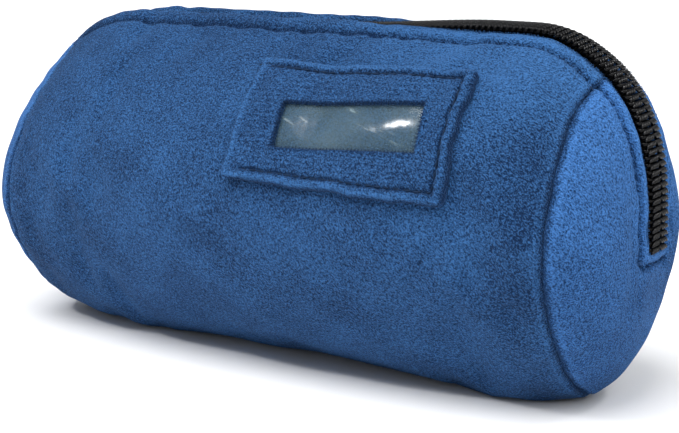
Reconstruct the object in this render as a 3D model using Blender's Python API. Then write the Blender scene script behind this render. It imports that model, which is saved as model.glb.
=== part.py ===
"""Padded velour zip case: a barrel pouch with domed ends, a top zip and a label holder.

X runs along the case and its zip, -Y is the front, +Z is up, and z = 0 is the surface it stands on.
Every layer of the shell is the same capsule form, moved inwards by its own inset.
"""

from math import atan2, cos, pi, radians, sin, tan

import bmesh
import bpy
import numpy as np
from mathutils import Matrix, Vector

MM = 0.001

# The sewn form
HALF_LENGTH = 88.0 * MM  # centre to each end seam
HALF_DEPTH = 40.0 * MM  # at mid length
BARREL = 4.1 * MM  # how much narrower it is at the end seams
SEAM_PINCH = 1.8 * MM  # a further narrowing close to the seams
TOP = 96.5 * MM  # top line at mid length
TOP_DROP = {1: 7.4 * MM, -1: 13.7 * MM}  # fall of the top line at the right and left seams
TOP_FLAT = {1: 0.78, -1: 0.60}  # share of the half length over which the top is level
BELOW_FLOOR = 3.9 * MM  # the part of the round section that the floor flattens
BASE_RISE = 4.8 * MM  # how far the section lifts at the seams
WIDEST = 0.49  # height of the widest line, as a share of the section
ROUNDNESS = 1.65  # exponent of the section curve
END_BULGE = 14.5 * MM
END_ROUNDNESS = 3.2
SEAM_GAP = 0.15 * MM

# Layers, as insets from the outer face
VELOUR = (0.0, 1.5 * MM)
PADDING = (1.8 * MM, 5.3 * MM)
LINING = (5.6 * MM, 6.3 * MM)
TAPE = (2.5 * MM, 3.1 * MM)

# The zip and its opening
MOUTH_HALF = 6.0 * MM  # centre to a hem
MOUTH_FOOT = 42.0 * MM  # height of the opening's lower ends
TAPE_EDGE = MOUTH_HALF + 4.0 * MM
PADDING_EDGE = MOUTH_HALF + 4.3 * MM
LINING_EDGE = MOUTH_HALF + 2.0 * MM
CHAIN_HALF = 4.3 * MM
CHAIN_GAP = 0.15 * MM
TAPE_START = 1.2 * MM  # the coil's heads reach past the tape's edge
CHAIN_RISE = 0.6 * MM  # how far the coil stands above the velour's face
MOUTH_OPEN = 15.0  # degrees that each side turns
FOLD_CLEARANCE = 1.5  # degrees
FOLD_LIP = 1.2 * MM  # from the mouth's foot down to the lower padding

# The slider and its pull
SLIDER_LENGTH = 13.0 * MM
SLIDER_HALF = 5.6 * MM
SLIDER_WALL = 0.7 * MM
SLIDER_SOLE = (-2.4 * MM, -1.2 * MM)  # heights above the tape's middle
SLIDER_CROWN = (4.0 * MM, 5.2 * MM)
POST_HALF = 0.85 * MM
POST_LENGTH = 4.5 * MM
BAIL_HALF = 1.1 * MM
BAIL_THICK = 1.3 * MM
BAIL_CLEAR = 1.9 * MM
STOP_LENGTH = 2.2 * MM
PULL_LENGTH = 27.0 * MM
PULL_HALF = 3.4 * MM
PULL_THICK = 1.2 * MM
PULL_WINDOW = 3.8 * MM
PULL_WINDOW_HALF = 1.8 * MM
PIN_RADIUS = 0.6 * MM

# The label holder on the front
LABEL_CENTRE = 31.0 * MM  # along X
LABEL_RISE = 27.3 * MM  # along the cloth, above the widest line
LABEL_HALF = (32.2 * MM, 17.5 * MM)
WINDOW_HALF = (21.5 * MM, 7.6 * MM)
WINDOW_LAP = 2.5 * MM
LABEL_TILT = -0.8  # degrees
FRAME_LAYER = (-2.25 * MM, -1.05 * MM)
WINDOW_LAYER = (-0.75 * MM, -0.35 * MM)

AROUND = 28
BODY_STATIONS = 15
DOME_STATIONS = 6


# ---------------------------------------------------------------- materials

def material(name, colour, roughness, metallic=0.0, alpha=1.0):
    """A Principled material with one plain finish."""
    made = bpy.data.materials.new(name)
    made.use_nodes = True
    shader = made.node_tree.nodes["Principled BSDF"]
    shader.inputs["Base Color"].default_value = (*colour, 1.0)
    shader.inputs["Roughness"].default_value = roughness
    shader.inputs["Metallic"].default_value = metallic
    shader.inputs["Alpha"].default_value = alpha
    made.diffuse_color = (*colour, alpha)
    return made


def finishes():
    return {
        "velour": material("blue_velour", (0.035, 0.095, 0.220), 0.9),
        "velour_end": material("blue_velour_end", (0.040, 0.105, 0.240), 0.9),
        "velour_frame": material("blue_velour_frame", (0.032, 0.088, 0.205), 0.9),
        "padding": material("grey_foam", (0.45, 0.45, 0.46), 0.95),
        "lining": material("dark_lining", (0.020, 0.030, 0.055), 0.7),
        "tape": material("black_tape", (0.010, 0.010, 0.012), 0.8),
        "coil": material("black_nylon", (0.008, 0.008, 0.010), 0.35),
        "metal": material("black_metal", (0.020, 0.020, 0.022), 0.35, metallic=1.0),
        "vinyl": material("clear_vinyl", (0.85, 0.90, 0.92), 0.12, alpha=0.35),
    }


# ---------------------------------------------------------------- the form

def seam_share(x):
    """0 where the top is level, 1 at an end seam."""
    level = TOP_FLAT[1 if x >= 0 else -1]
    return max(0.0, (abs(x) / HALF_LENGTH - level) / (1.0 - level))


def section(x, inset):
    """Half depth, top and (unflattened) bottom of the section at x."""
    share = seam_share(x) ** 2
    drop = TOP_DROP[1 if x >= 0 else -1]
    half = HALF_DEPTH - BARREL * (x / HALF_LENGTH) ** 2 - SEAM_PINCH * share - inset
    top = TOP - drop * share - inset
    bottom = -BELOW_FLOOR + BASE_RISE * share + inset
    return half, top, bottom


def on_section(x, angle, inset, scale=1.0, at=None):
    """A point of the section curve, shrunk by scale about its centre. Angle 0 is +Y, and pi / 2 is up."""
    half, top, bottom = section(x, inset)
    middle = bottom + (top - bottom) * WIDEST
    power = 2.0 / ROUNDNESS
    y = half * np.sign(cos(angle)) * abs(cos(angle)) ** power
    reach = top - middle if sin(angle) >= 0 else middle - bottom
    z = middle + scale * reach * np.sign(sin(angle)) * abs(sin(angle)) ** power
    return Vector((x if at is None else at, y * scale, max(z, inset)))


def top_height(x, y, inset):
    """Height of the upper half of the section at a given y."""
    half, top, bottom = section(x, inset)
    middle = bottom + (top - bottom) * WIDEST
    return middle + (top - middle) * (1.0 - (abs(y) / half) ** ROUNDNESS) ** (1.0 / ROUNDNESS)


def dome_x(side, y, z, inset):
    """X of the domed end at a given y and z."""
    half, top, bottom = section(side * HALF_LENGTH, inset)
    middle = bottom + (top - bottom) * WIDEST
    reach = top - middle if z >= middle else middle - bottom
    ratio = (abs(y) / half) ** ROUNDNESS + (abs(z - middle) / reach) ** ROUNDNESS
    radius = min(1.0, ratio ** (1.0 / ROUNDNESS))
    return side * (HALF_LENGTH + (END_BULGE - inset) * (1.0 - radius ** END_ROUNDNESS))


def body_rows(inset):
    """Sections of the tube between the two seams, from left to right."""
    end = HALF_LENGTH - SEAM_GAP
    spread = np.linspace(-1.0, 1.0, BODY_STATIONS)
    places = [end * sin(s * pi / 2) * 0.35 + end * s * 0.65 for s in spread]
    return [ring_at(x, inset) for x in places]


def ring_at(x, inset):
    return [on_section(x, 2 * pi * k / AROUND, inset) for k in range(AROUND)]


def dome_rows(side, inset):
    """Sections of an end from its seam towards its middle."""
    seam = side * HALF_LENGTH
    rows = []
    for step in range(DOME_STATIONS):
        scale = cos(step / DOME_STATIONS * pi / 2) ** 0.9
        x = seam + side * (SEAM_GAP + (END_BULGE - inset - SEAM_GAP) * (1 - scale ** END_ROUNDNESS))
        rows.append([on_section(seam, 2 * pi * k / AROUND, inset, scale, x) for k in range(AROUND)])
    return rows


# ---------------------------------------------------------------- mesh helpers

def link(name, mesh, finish, origin=(0.0, 0.0, 0.0)):
    """A scene object whose mesh is in world places and whose origin is where it turns."""
    mesh.transform(Matrix.Translation(-Vector(origin)))
    made = bpy.data.objects.new(name, mesh)
    made.location = origin
    bpy.context.scene.collection.objects.link(made)
    if finish is not None:
        made.data.materials.append(finish)
    return made


def finished(work, name):
    """A mesh from a bmesh, with its faces turned outwards."""
    bmesh.ops.remove_doubles(work, verts=work.verts, dist=1e-7)
    bmesh.ops.recalc_face_normals(work, faces=work.faces)
    mesh = bpy.data.meshes.new(name)
    work.to_mesh(mesh)
    work.free()
    mesh.shade_smooth()
    mesh.set_sharp_from_angle(angle=radians(40))
    return mesh


def bridge_rows(work, rows, closed=True):
    """Quads between each pair of neighbouring rows of vertices."""
    for first, second in zip(rows, rows[1:]):
        count = len(first)
        for k in range(count if closed else count - 1):
            after = (k + 1) % count
            work.faces.new((first[k], first[after], second[after], second[k]))


def shell_mesh(name, outer, inner, poles=None):
    """A wall between two stacks of rings. Poles are the outer and inner middle points of a closed end."""
    work = bmesh.new()
    stacks = [[[work.verts.new(point) for point in row] for row in stack] for stack in (outer, inner)]
    for stack in stacks:
        bridge_rows(work, stack)
    bridge_rows(work, [stacks[0][0], stacks[1][0]])
    if poles is None:
        bridge_rows(work, [stacks[0][-1], stacks[1][-1]])
    else:
        for stack, pole in zip(stacks, poles):
            tip = work.verts.new(pole)
            last = stack[-1]
            for k in range(AROUND):
                work.faces.new((last[k], last[(k + 1) % AROUND], tip))
    return finished(work, name)


def tube_mesh(name, layer):
    return shell_mesh(name, body_rows(layer[0]), body_rows(layer[1]))


def dome_mesh(name, side, layer):
    poles = []
    for inset in layer:
        _, top, bottom = section(side * HALF_LENGTH, inset)
        x = side * (HALF_LENGTH + END_BULGE - inset)
        poles.append(Vector((x, 0.0, bottom + (top - bottom) * WIDEST)))
    return shell_mesh(name, dome_rows(side, layer[0]), dome_rows(side, layer[1]), poles)


def sheet_mesh(name, upper, lower, keep=None):
    """A closed sheet between two grids of points. Keep says which cells exist."""
    rows, columns = len(upper), len(upper[0])
    if keep is None:
        keep = np.ones((rows - 1, columns - 1), bool)
    work = bmesh.new()
    grids = [[[work.verts.new(point) for point in row] for row in grid] for grid in (upper, lower)]

    def kept(i, j):
        return 0 <= i < rows - 1 and 0 <= j < columns - 1 and keep[i, j]

    for i in range(rows - 1):
        for j in range(columns - 1):
            if not kept(i, j):
                continue
            corners = ((i, j), (i, j + 1), (i + 1, j + 1), (i + 1, j))
            for grid in grids:
                work.faces.new([grid[r][c] for r, c in corners])
            beside = ((i - 1, j), (i, j + 1), (i + 1, j), (i, j - 1))
            for side, (start, stop) in enumerate(zip(corners, corners[1:] + corners[:1])):
                if not kept(*beside[side]):
                    wall = [grids[0][start[0]][start[1]], grids[0][stop[0]][stop[1]]]
                    wall += [grids[1][stop[0]][stop[1]], grids[1][start[0]][start[1]]]
                    work.faces.new(wall)
    bmesh.ops.delete(work, geom=[v for v in work.verts if not v.link_faces], context="VERTS")
    return finished(work, name)


def prism_mesh(name, outline, start, end, axis=0):
    """An outline in the other two axes, extruded along one axis."""
    work = bmesh.new()
    ends = []
    for place in (start, end):
        points = []
        for first, second in outline:
            point = [first, second]
            point.insert(axis, place)
            points.append(work.verts.new(point))
        ends.append(points)
        work.faces.new(points)
    bridge_rows(work, ends)
    return finished(work, name)


def box_mesh(name, low, high):
    outline = [(low[1], low[2]), (high[1], low[2]), (high[1], high[2]), (low[1], high[2])]
    return prism_mesh(name, outline, low[0], high[0])


def helper(name, mesh):
    """A cutter or joining piece, left out of the finished case."""
    made = link(name, mesh, None)
    made.hide_render = True
    made.display_type = "WIRE"
    return made


def cut(piece, *cutters, operation="DIFFERENCE"):
    for cutter in cutters:
        boolean = piece.modifiers.new(cutter.name, "BOOLEAN")
        boolean.operation = operation
        boolean.solver = "EXACT"
        boolean.object = cutter


# ---------------------------------------------------------------- shell layers

def make_cutters():
    """The mouth's opening in each layer, and the wedges that part the padding along its folds."""
    far = HALF_LENGTH + 40 * MM
    tall = TOP + 20 * MM
    slots = {}
    for layer, half in (("velour", MOUTH_HALF), ("padding", PADDING_EDGE), ("lining", LINING_EDGE)):
        mesh = box_mesh(f"{layer}_slot", (-far, -half, MOUTH_FOOT), (far, half, tall))
        slots[layer] = helper(f"{layer}_slot", mesh)
    fall = far * tan(radians(MOUTH_OPEN + FOLD_CLEARANCE))
    start = MOUTH_FOOT - FOLD_LIP
    base = [(0.0, start), (-far, start - fall), (-far, -far), (far, -far), (far, start - fall)]
    parts = {"base": helper("base_part", prism_mesh("base_part", base, -far, far))}
    for name, side in (("front", -1), ("back", 1)):
        outline = [(side * PADDING_EDGE, MOUTH_FOOT), (side * far, MOUTH_FOOT)]
        outline += [(side * far, tall), (side * PADDING_EDGE, tall)]
        parts[name] = helper(f"{name}_part", prism_mesh(f"{name}_part", outline, -far, far))
    return slots, parts


def make_skins(looks, slots):
    """The velour and the lining: a wrapped body panel and two end panels each."""
    body = link("outer_body_panel", tube_mesh("outer_body_panel", VELOUR), looks["velour"])
    inner = link("lining_body", tube_mesh("lining_body", LINING), looks["lining"])
    cut(body, slots["velour"])
    cut(inner, slots["lining"])
    for label, side in (("left", -1), ("right", 1)):
        name = f"outer_end_panel_{label}"
        end = link(name, dome_mesh(name, side, VELOUR), looks["velour_end"])
        cut(end, slots["velour"])
        name = f"lining_end_{label}"
        end = link(name, dome_mesh(name, side, LINING), looks["lining"])
        cut(end, slots["lining"])


def make_padding(looks, parts):
    """Foam for the body and both ends, each in a lower, a front and a back section."""
    hinge = (0.0, 0.0, MOUTH_FOOT)
    for section_name, keep in parts.items():
        origin = (0.0, 0.0, 0.0) if section_name == "base" else hinge
        name = f"padding_{section_name}"
        foam = link(name, tube_mesh(name, PADDING), looks["padding"], origin)
        cut(foam, keep, operation="INTERSECT")
        for label, side in (("left", -1), ("right", 1)):
            name = f"padding_end_{label}_{section_name}"
            foam = link(name, dome_mesh(name, side, PADDING), looks["padding"], origin)
            cut(foam, keep, operation="INTERSECT")


# ---------------------------------------------------------------- zip

def zip_places(foot):
    """Stations along the mouth: (x, None, None) on the top, and (side, share, foot) down an end."""
    shares = np.linspace(0.06, 1.0, 9)
    left = [(-1, share, foot[0]) for share in shares[::-1]]
    middle = [(x, None, None) for x in np.linspace(-HALF_LENGTH, HALF_LENGTH, 21)]
    right = [(1, share, foot[1]) for share in shares]
    return left + middle + right


def zip_point(place, y, inset):
    """A point of the mouth's surface at a station, a given y and an inset."""
    x, share, foot = place
    if share is None:
        return Vector((x, y, top_height(x, y, inset)))
    start = top_height(x * HALF_LENGTH, y, inset)
    z = start + (foot - start) * share
    return Vector((dome_x(x, y, z, inset), y, z))


def zip_strip(name, side, profile, foot):
    """A strip along one side of the mouth. Profile lists (y, upper inset, lower inset)."""
    upper, lower = [], []
    for place in zip_places(foot):
        upper.append([zip_point(place, side * y, inset) for y, inset, _ in profile])
        lower.append([zip_point(place, side * y, inset) for y, _, inset in profile])
    return sheet_mesh(name, upper, lower)


def make_zip(looks):
    """Tapes, coils and stops, each on its own side of the mouth."""
    hinge = (0.0, 0.0, MOUTH_FOOT)
    coil_low = TAPE[0] - 0.3 * MM
    coil_high = -CHAIN_RISE
    tape_foot = (MOUTH_FOOT - FOLD_LIP / 2, MOUTH_FOOT - FOLD_LIP / 2)
    stop_top = MOUTH_FOOT + 0.4 * MM + STOP_LENGTH
    coil_foot = (stop_top + 0.3 * MM + POST_LENGTH + 0.3 * MM, stop_top + 0.3 * MM)
    for name, side in (("front", -1), ("back", 1)):
        tape = [(y, *TAPE) for y in (TAPE_START, CHAIN_HALF, MOUTH_HALF, TAPE_EDGE)]
        label = f"zip_tape_{name}"
        link(label, zip_strip(label, side, tape, tape_foot), looks["tape"], hinge)
        coil = [
            (CHAIN_GAP, coil_high + 0.5 * MM, coil_low),
            (CHAIN_GAP + 0.6 * MM, coil_high, coil_low),
            (CHAIN_HALF - 1.0 * MM, coil_high, coil_low),
            (CHAIN_HALF, coil_high + 0.9 * MM, coil_low),
        ]
        label = f"zip_coil_{name}"
        link(label, zip_strip(label, side, coil, coil_foot), looks["coil"], hinge)
        make_stop(f"top_stop_{name}", -1, side * 1.3 * MM, side * CHAIN_HALF, looks, hinge)
    make_stop("bottom_stop", 1, -CHAIN_HALF, CHAIN_HALF, looks, (0.0, 0.0, 0.0))


def make_stop(name, end, y_start, y_stop, looks, origin):
    """A moulded block over the end of the coil, on top of the tape."""
    low, high = MOUTH_FOOT + 0.4 * MM, MOUTH_FOOT + 0.4 * MM + STOP_LENGTH
    grids = []
    for inset in (-CHAIN_RISE, TAPE[0] - 0.3 * MM):
        grid = []
        for z in (low, (low + high) / 2, high):
            row = [Vector((dome_x(end, y, z, inset), y, z)) for y in np.linspace(y_start, y_stop, 3)]
            grid.append(row)
        grids.append(grid)
    link(name, sheet_mesh(name, *grids), looks["coil"], origin)


# ---------------------------------------------------------------- slider

def path_inset():
    return (TAPE[0] + TAPE[1]) / 2


def slider_arc():
    """Centre, radius and travel of the arc that the slider follows from the foot to the top line."""
    inset = path_inset()
    z = MOUTH_FOOT + 0.4 * MM + STOP_LENGTH + 0.3 * MM + SLIDER_LENGTH / 2
    x = dome_x(-1, 0.0, z, inset)
    step = 1.0 * MM
    slope = Vector((dome_x(-1, 0.0, z + step, inset) - dome_x(-1, 0.0, z - step, inset), 2 * step))
    inward = Vector((slope.y, -slope.x)).normalized()

    def miss(radius):
        centre_x = x + radius * inward.x
        return z + radius * inward.y + radius - top_height(centre_x, 0.0, inset)

    low, high = 20 * MM, 90 * MM
    for _ in range(60):
        middle = (low + high) / 2
        if miss(middle) > 0:
            high = middle
        else:
            low = middle
    centre = Vector((x + low * inward.x, 0.0, z + low * inward.y))
    travel = pi / 2 - atan2(-inward.y, inward.x)
    return centre, low, travel, Vector((x, 0.0, z)), inward


def slider_frame():
    """Places slider coordinates: x towards the foot, y across the tape, z out of the case."""
    _, _, _, place, inward = slider_arc()
    out = Vector((-inward.x, 0.0, -inward.y))
    along = Vector((inward.y, 0.0, -inward.x))
    across = out.cross(along)
    turn = Matrix((along, across, out)).transposed().to_4x4()
    return Matrix.Translation(place) @ turn


def slider_outline():
    """Plan of the slider's plates: a shield, wider at its nose."""
    half_length = SLIDER_LENGTH / 2
    waist = SLIDER_HALF * 0.92
    shoulder = 2.2 * MM
    return [
        (-half_length, -waist + 1.0 * MM),
        (-half_length + 1.0 * MM, -waist),
        (half_length - shoulder, -SLIDER_HALF),
        (half_length, -SLIDER_HALF + shoulder),
        (half_length, SLIDER_HALF - shoulder),
        (half_length - shoulder, SLIDER_HALF),
        (-half_length + 1.0 * MM, waist),
        (-half_length, waist - 1.0 * MM),
    ]


def place_in_slider(mesh, frame):
    mesh.transform(frame)
    return mesh


def bail_mesh(name):
    """The arch that holds the pull, as a side view extruded across."""
    foot = SLIDER_CROWN[1] - 0.6 * MM
    rise = SLIDER_CROWN[1] + BAIL_CLEAR
    start, end = -5.2 * MM, 5.2 * MM
    outline = [(start, foot), (start, rise), (start + 1.4 * MM, rise + BAIL_THICK)]
    outline += [(end - 1.4 * MM, rise + BAIL_THICK), (end, rise), (end, foot)]
    outline += [(end - BAIL_THICK, foot), (end - BAIL_THICK, rise - 0.3 * MM)]
    outline += [(end - BAIL_THICK - 0.6 * MM, rise), (start + BAIL_THICK + 0.6 * MM, rise)]
    outline += [(start + BAIL_THICK, rise - 0.3 * MM), (start + BAIL_THICK, foot)]
    return prism_mesh(name, outline, -BAIL_HALF, BAIL_HALF, axis=1)


def make_slider(looks):
    """Two plates round the coil, joined by a post, with side walls and a bail."""
    centre, _, _, _, _ = slider_arc()
    frame = slider_frame()
    crown = prism_mesh("slider_body", slider_outline(), *SLIDER_CROWN, axis=2)
    body = link("slider_body", place_in_slider(crown, frame), looks["metal"], centre)
    sole_mesh = prism_mesh("slider_sole", slider_outline(), *SLIDER_SOLE, axis=2)
    joined = [helper("slider_sole", place_in_slider(sole_mesh, frame))]
    nose = SLIDER_LENGTH / 2
    low, high = SLIDER_SOLE[1] - 0.4 * MM, SLIDER_CROWN[0] + 0.4 * MM
    post = box_mesh("slider_post", (nose - POST_LENGTH, -POST_HALF, low), (nose - 0.2 * MM, POST_HALF, high))
    joined.append(helper("slider_post", place_in_slider(post, frame)))
    for name, side in (("front", -1), ("back", 1)):
        walls = sorted((side * SLIDER_HALF * 0.92, side * (SLIDER_HALF * 0.92 - SLIDER_WALL)))
        wall = box_mesh(
            f"slider_wall_{name}",
            (-nose + 1.2 * MM, walls[0], 1.0 * MM),
            (nose - 3.0 * MM, walls[1], high),
        )
        joined.append(helper(f"slider_wall_{name}", place_in_slider(wall, frame)))
    joined.append(helper("slider_bail", place_in_slider(bail_mesh("slider_bail"), frame)))
    cut(body, *joined, operation="UNION")
    make_pull(looks, frame)


def make_pull(looks, frame):
    """A flat pull with a window that the bail passes through and a pin across its top."""
    height = SLIDER_CROWN[1] + BAIL_CLEAR / 2
    pin = Vector((2.4 * MM, 0.0, height))
    half = PULL_THICK / 2
    start, tip = pin.x - PIN_RADIUS, pin.x + PULL_LENGTH
    window_end = pin.x + PIN_RADIUS + PULL_WINDOW
    xs = [start, pin.x + PIN_RADIUS, window_end, window_end + 2.5 * MM, tip - 4 * MM, tip - 1.2 * MM, tip]
    widths = [0.86, 1.0, 1.0, 0.72, 0.9, 0.9, 0.6]
    grids = [[], []]
    for x, width in zip(xs, widths):
        across = [-PULL_HALF * width, -PULL_WINDOW_HALF, PULL_WINDOW_HALF, PULL_HALF * width]
        for grid, level in zip(grids, (height + half, height - half)):
            grid.append([Vector((x, y, level)) for y in across])
    keep = np.ones((len(xs) - 1, 3), bool)
    keep[1, 1] = False
    pull = sheet_mesh("pull_tab", *grids, keep)
    link("pull_tab", place_in_slider(pull, frame), looks["metal"], frame @ pin)


# ---------------------------------------------------------------- label holder

def front_angle(x, rise):
    """Section angle that lies a length of cloth above the widest line of the front."""
    angles = np.linspace(pi + 0.9, pi / 2 + 0.1, 120)
    points = np.array([on_section(x, angle, 0.0) for angle in angles])
    lengths = np.concatenate([[0.0], np.cumsum(np.linalg.norm(np.diff(points, axis=0), axis=1))])
    widest = np.interp(-pi, -angles, lengths)
    return float(np.interp(rise + widest, lengths, angles))


def label_point(across, up, inset):
    """A point on the front, in the label's own tilted directions."""
    tilt = radians(LABEL_TILT)
    x = LABEL_CENTRE + across * cos(tilt) - up * sin(tilt)
    rise = LABEL_RISE + across * sin(tilt) + up * cos(tilt)
    return on_section(x, front_angle(x, rise), inset)


def label_grid(widths, heights, layer):
    return [[[label_point(u, v, inset) for u in widths] for v in heights] for inset in layer]


def make_label(looks):
    """A velour frame sewn round a clear window."""
    hinge = (0.0, 0.0, MOUTH_FOOT)
    (wide, tall), (hole_wide, hole_tall) = LABEL_HALF, WINDOW_HALF
    widths = [-wide, -(wide + hole_wide) / 2, *np.linspace(-hole_wide, hole_wide, 7)]
    widths += [(wide + hole_wide) / 2, wide]
    heights = [-tall, -(tall + hole_tall) / 2, *np.linspace(-hole_tall, hole_tall, 4)]
    heights += [(tall + hole_tall) / 2, tall]
    keep = np.ones((len(heights) - 1, len(widths) - 1), bool)
    keep[2:-2, 2:-2] = False
    frame = sheet_mesh("label_frame", *label_grid(widths, heights, FRAME_LAYER), keep)
    link("label_frame", frame, looks["velour_frame"], hinge)
    clear_wide, clear_tall = hole_wide + WINDOW_LAP, hole_tall + WINDOW_LAP
    widths = np.linspace(-clear_wide, clear_wide, 8)
    heights = np.linspace(-clear_tall, clear_tall, 6)
    window = sheet_mesh("label_window", *label_grid(widths, heights, WINDOW_LAYER))
    link("label_window", window, looks["vinyl"], hinge)


def main():
    for old in list(bpy.data.objects):
        bpy.data.objects.remove(old, do_unlink=True)
    looks = finishes()
    slots, parts = make_cutters()
    make_skins(looks, slots)
    make_padding(looks, parts)
    make_zip(looks)
    make_slider(looks)
    make_label(looks)


main()
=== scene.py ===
"""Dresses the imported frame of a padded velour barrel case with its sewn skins, zip and label holder."""

import enum
import logging
import math
from dataclasses import dataclass

import bpy
import numpy as np
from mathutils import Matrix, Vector
from mathutils.bvhtree import BVHTree


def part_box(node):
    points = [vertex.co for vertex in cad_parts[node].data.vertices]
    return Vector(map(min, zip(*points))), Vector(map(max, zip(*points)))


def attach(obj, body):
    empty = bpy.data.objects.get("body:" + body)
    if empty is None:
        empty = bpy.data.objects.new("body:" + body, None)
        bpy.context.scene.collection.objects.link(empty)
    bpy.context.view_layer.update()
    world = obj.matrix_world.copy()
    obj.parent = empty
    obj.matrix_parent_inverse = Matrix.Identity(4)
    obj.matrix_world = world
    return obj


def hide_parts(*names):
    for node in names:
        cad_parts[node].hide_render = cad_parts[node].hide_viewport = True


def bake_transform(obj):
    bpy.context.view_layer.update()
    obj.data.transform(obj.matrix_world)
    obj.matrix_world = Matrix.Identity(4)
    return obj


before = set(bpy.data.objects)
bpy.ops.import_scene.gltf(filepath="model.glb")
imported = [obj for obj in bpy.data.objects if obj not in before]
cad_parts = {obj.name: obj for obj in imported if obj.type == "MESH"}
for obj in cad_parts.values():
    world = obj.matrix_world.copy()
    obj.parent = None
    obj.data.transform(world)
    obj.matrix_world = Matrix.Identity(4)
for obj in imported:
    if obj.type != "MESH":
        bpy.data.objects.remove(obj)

Array = np.ndarray
Colour = tuple[float, float, float]
MM = 0.001
STOPS = {"top_stop_front": "front_flank", "top_stop_back": "back_flank", "bottom_stop": "root"}
log = logging.getLogger("case")


class End(enum.Enum):
    """Which end of the case, as the sign of X."""

    LEFT = -1
    RIGHT = 1


class Flank(enum.Enum):
    """Which side of the zip, as the sign of Y."""

    FRONT = -1
    BACK = 1

    @property
    def body(self) -> str:
        """The moving body of this flank."""
        return f"{self.name.lower()}_flank"

    @property
    def word(self) -> str:
        """The flank's name in a piece's name."""
        return self.name.lower()


# ---------------------------------------------------------------- shader and geometry wiring


class Shade:
    """A shader value that takes part in sums."""

    def __init__(self, wiring: "Wiring", socket: bpy.types.NodeSocket) -> None:
        """Wraps a socket of a tree."""
        self.wiring = wiring
        self.socket = socket

    def _sum(self, operation: str, first: "Shade | float", second: "Shade | float") -> "Shade":
        """Adds a Math node.

        Args:
            operation: the node's operation.
            first: its first value.
            second: its second value.

        Returns:
            The node's result.
        """
        made = self.wiring.node("ShaderNodeMath", {"operation": operation}, {0: first, 1: second})
        return Shade(self.wiring, made.outputs[0])

    def __add__(self, other: "Shade | float") -> "Shade":
        """This value plus another."""
        return self._sum("ADD", self, other)

    __radd__ = __add__

    def __sub__(self, other: "Shade | float") -> "Shade":
        """This value less another."""
        return self._sum("SUBTRACT", self, other)

    def __rsub__(self, other: "Shade | float") -> "Shade":
        """Another value less this one."""
        return self._sum("SUBTRACT", other, self)

    def __mul__(self, other: "Shade | float") -> "Shade":
        """This value times another."""
        return self._sum("MULTIPLY", self, other)

    __rmul__ = __mul__

    def held(self) -> "Shade":
        """This value held between 0 and 1."""
        made = self.wiring.node("ShaderNodeClamp", {}, {0: self})
        return Shade(self.wiring, made.outputs[0])


class Wiring:
    """Adds nodes to one tree."""

    def __init__(self, tree: bpy.types.NodeTree) -> None:
        """Takes the tree to fill."""
        self.tree = tree

    def node(self, kind: str, settings: dict | None = None, sockets: dict | None = None) -> bpy.types.Node:
        """Makes one node.

        Args:
            kind: the node's type.
            settings: properties that are set first.
            sockets: values or links, by socket name or number.

        Returns:
            The new node.
        """
        made = self.tree.nodes.new(kind)
        for key, value in (settings or {}).items():
            setattr(made, key, value)
        for key, value in (sockets or {}).items():
            source = value.socket if isinstance(value, Shade) else value
            if isinstance(source, bpy.types.NodeSocket):
                self.tree.links.new(source, made.inputs[key])
            else:
                made.inputs[key].default_value = source
        return made


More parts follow.
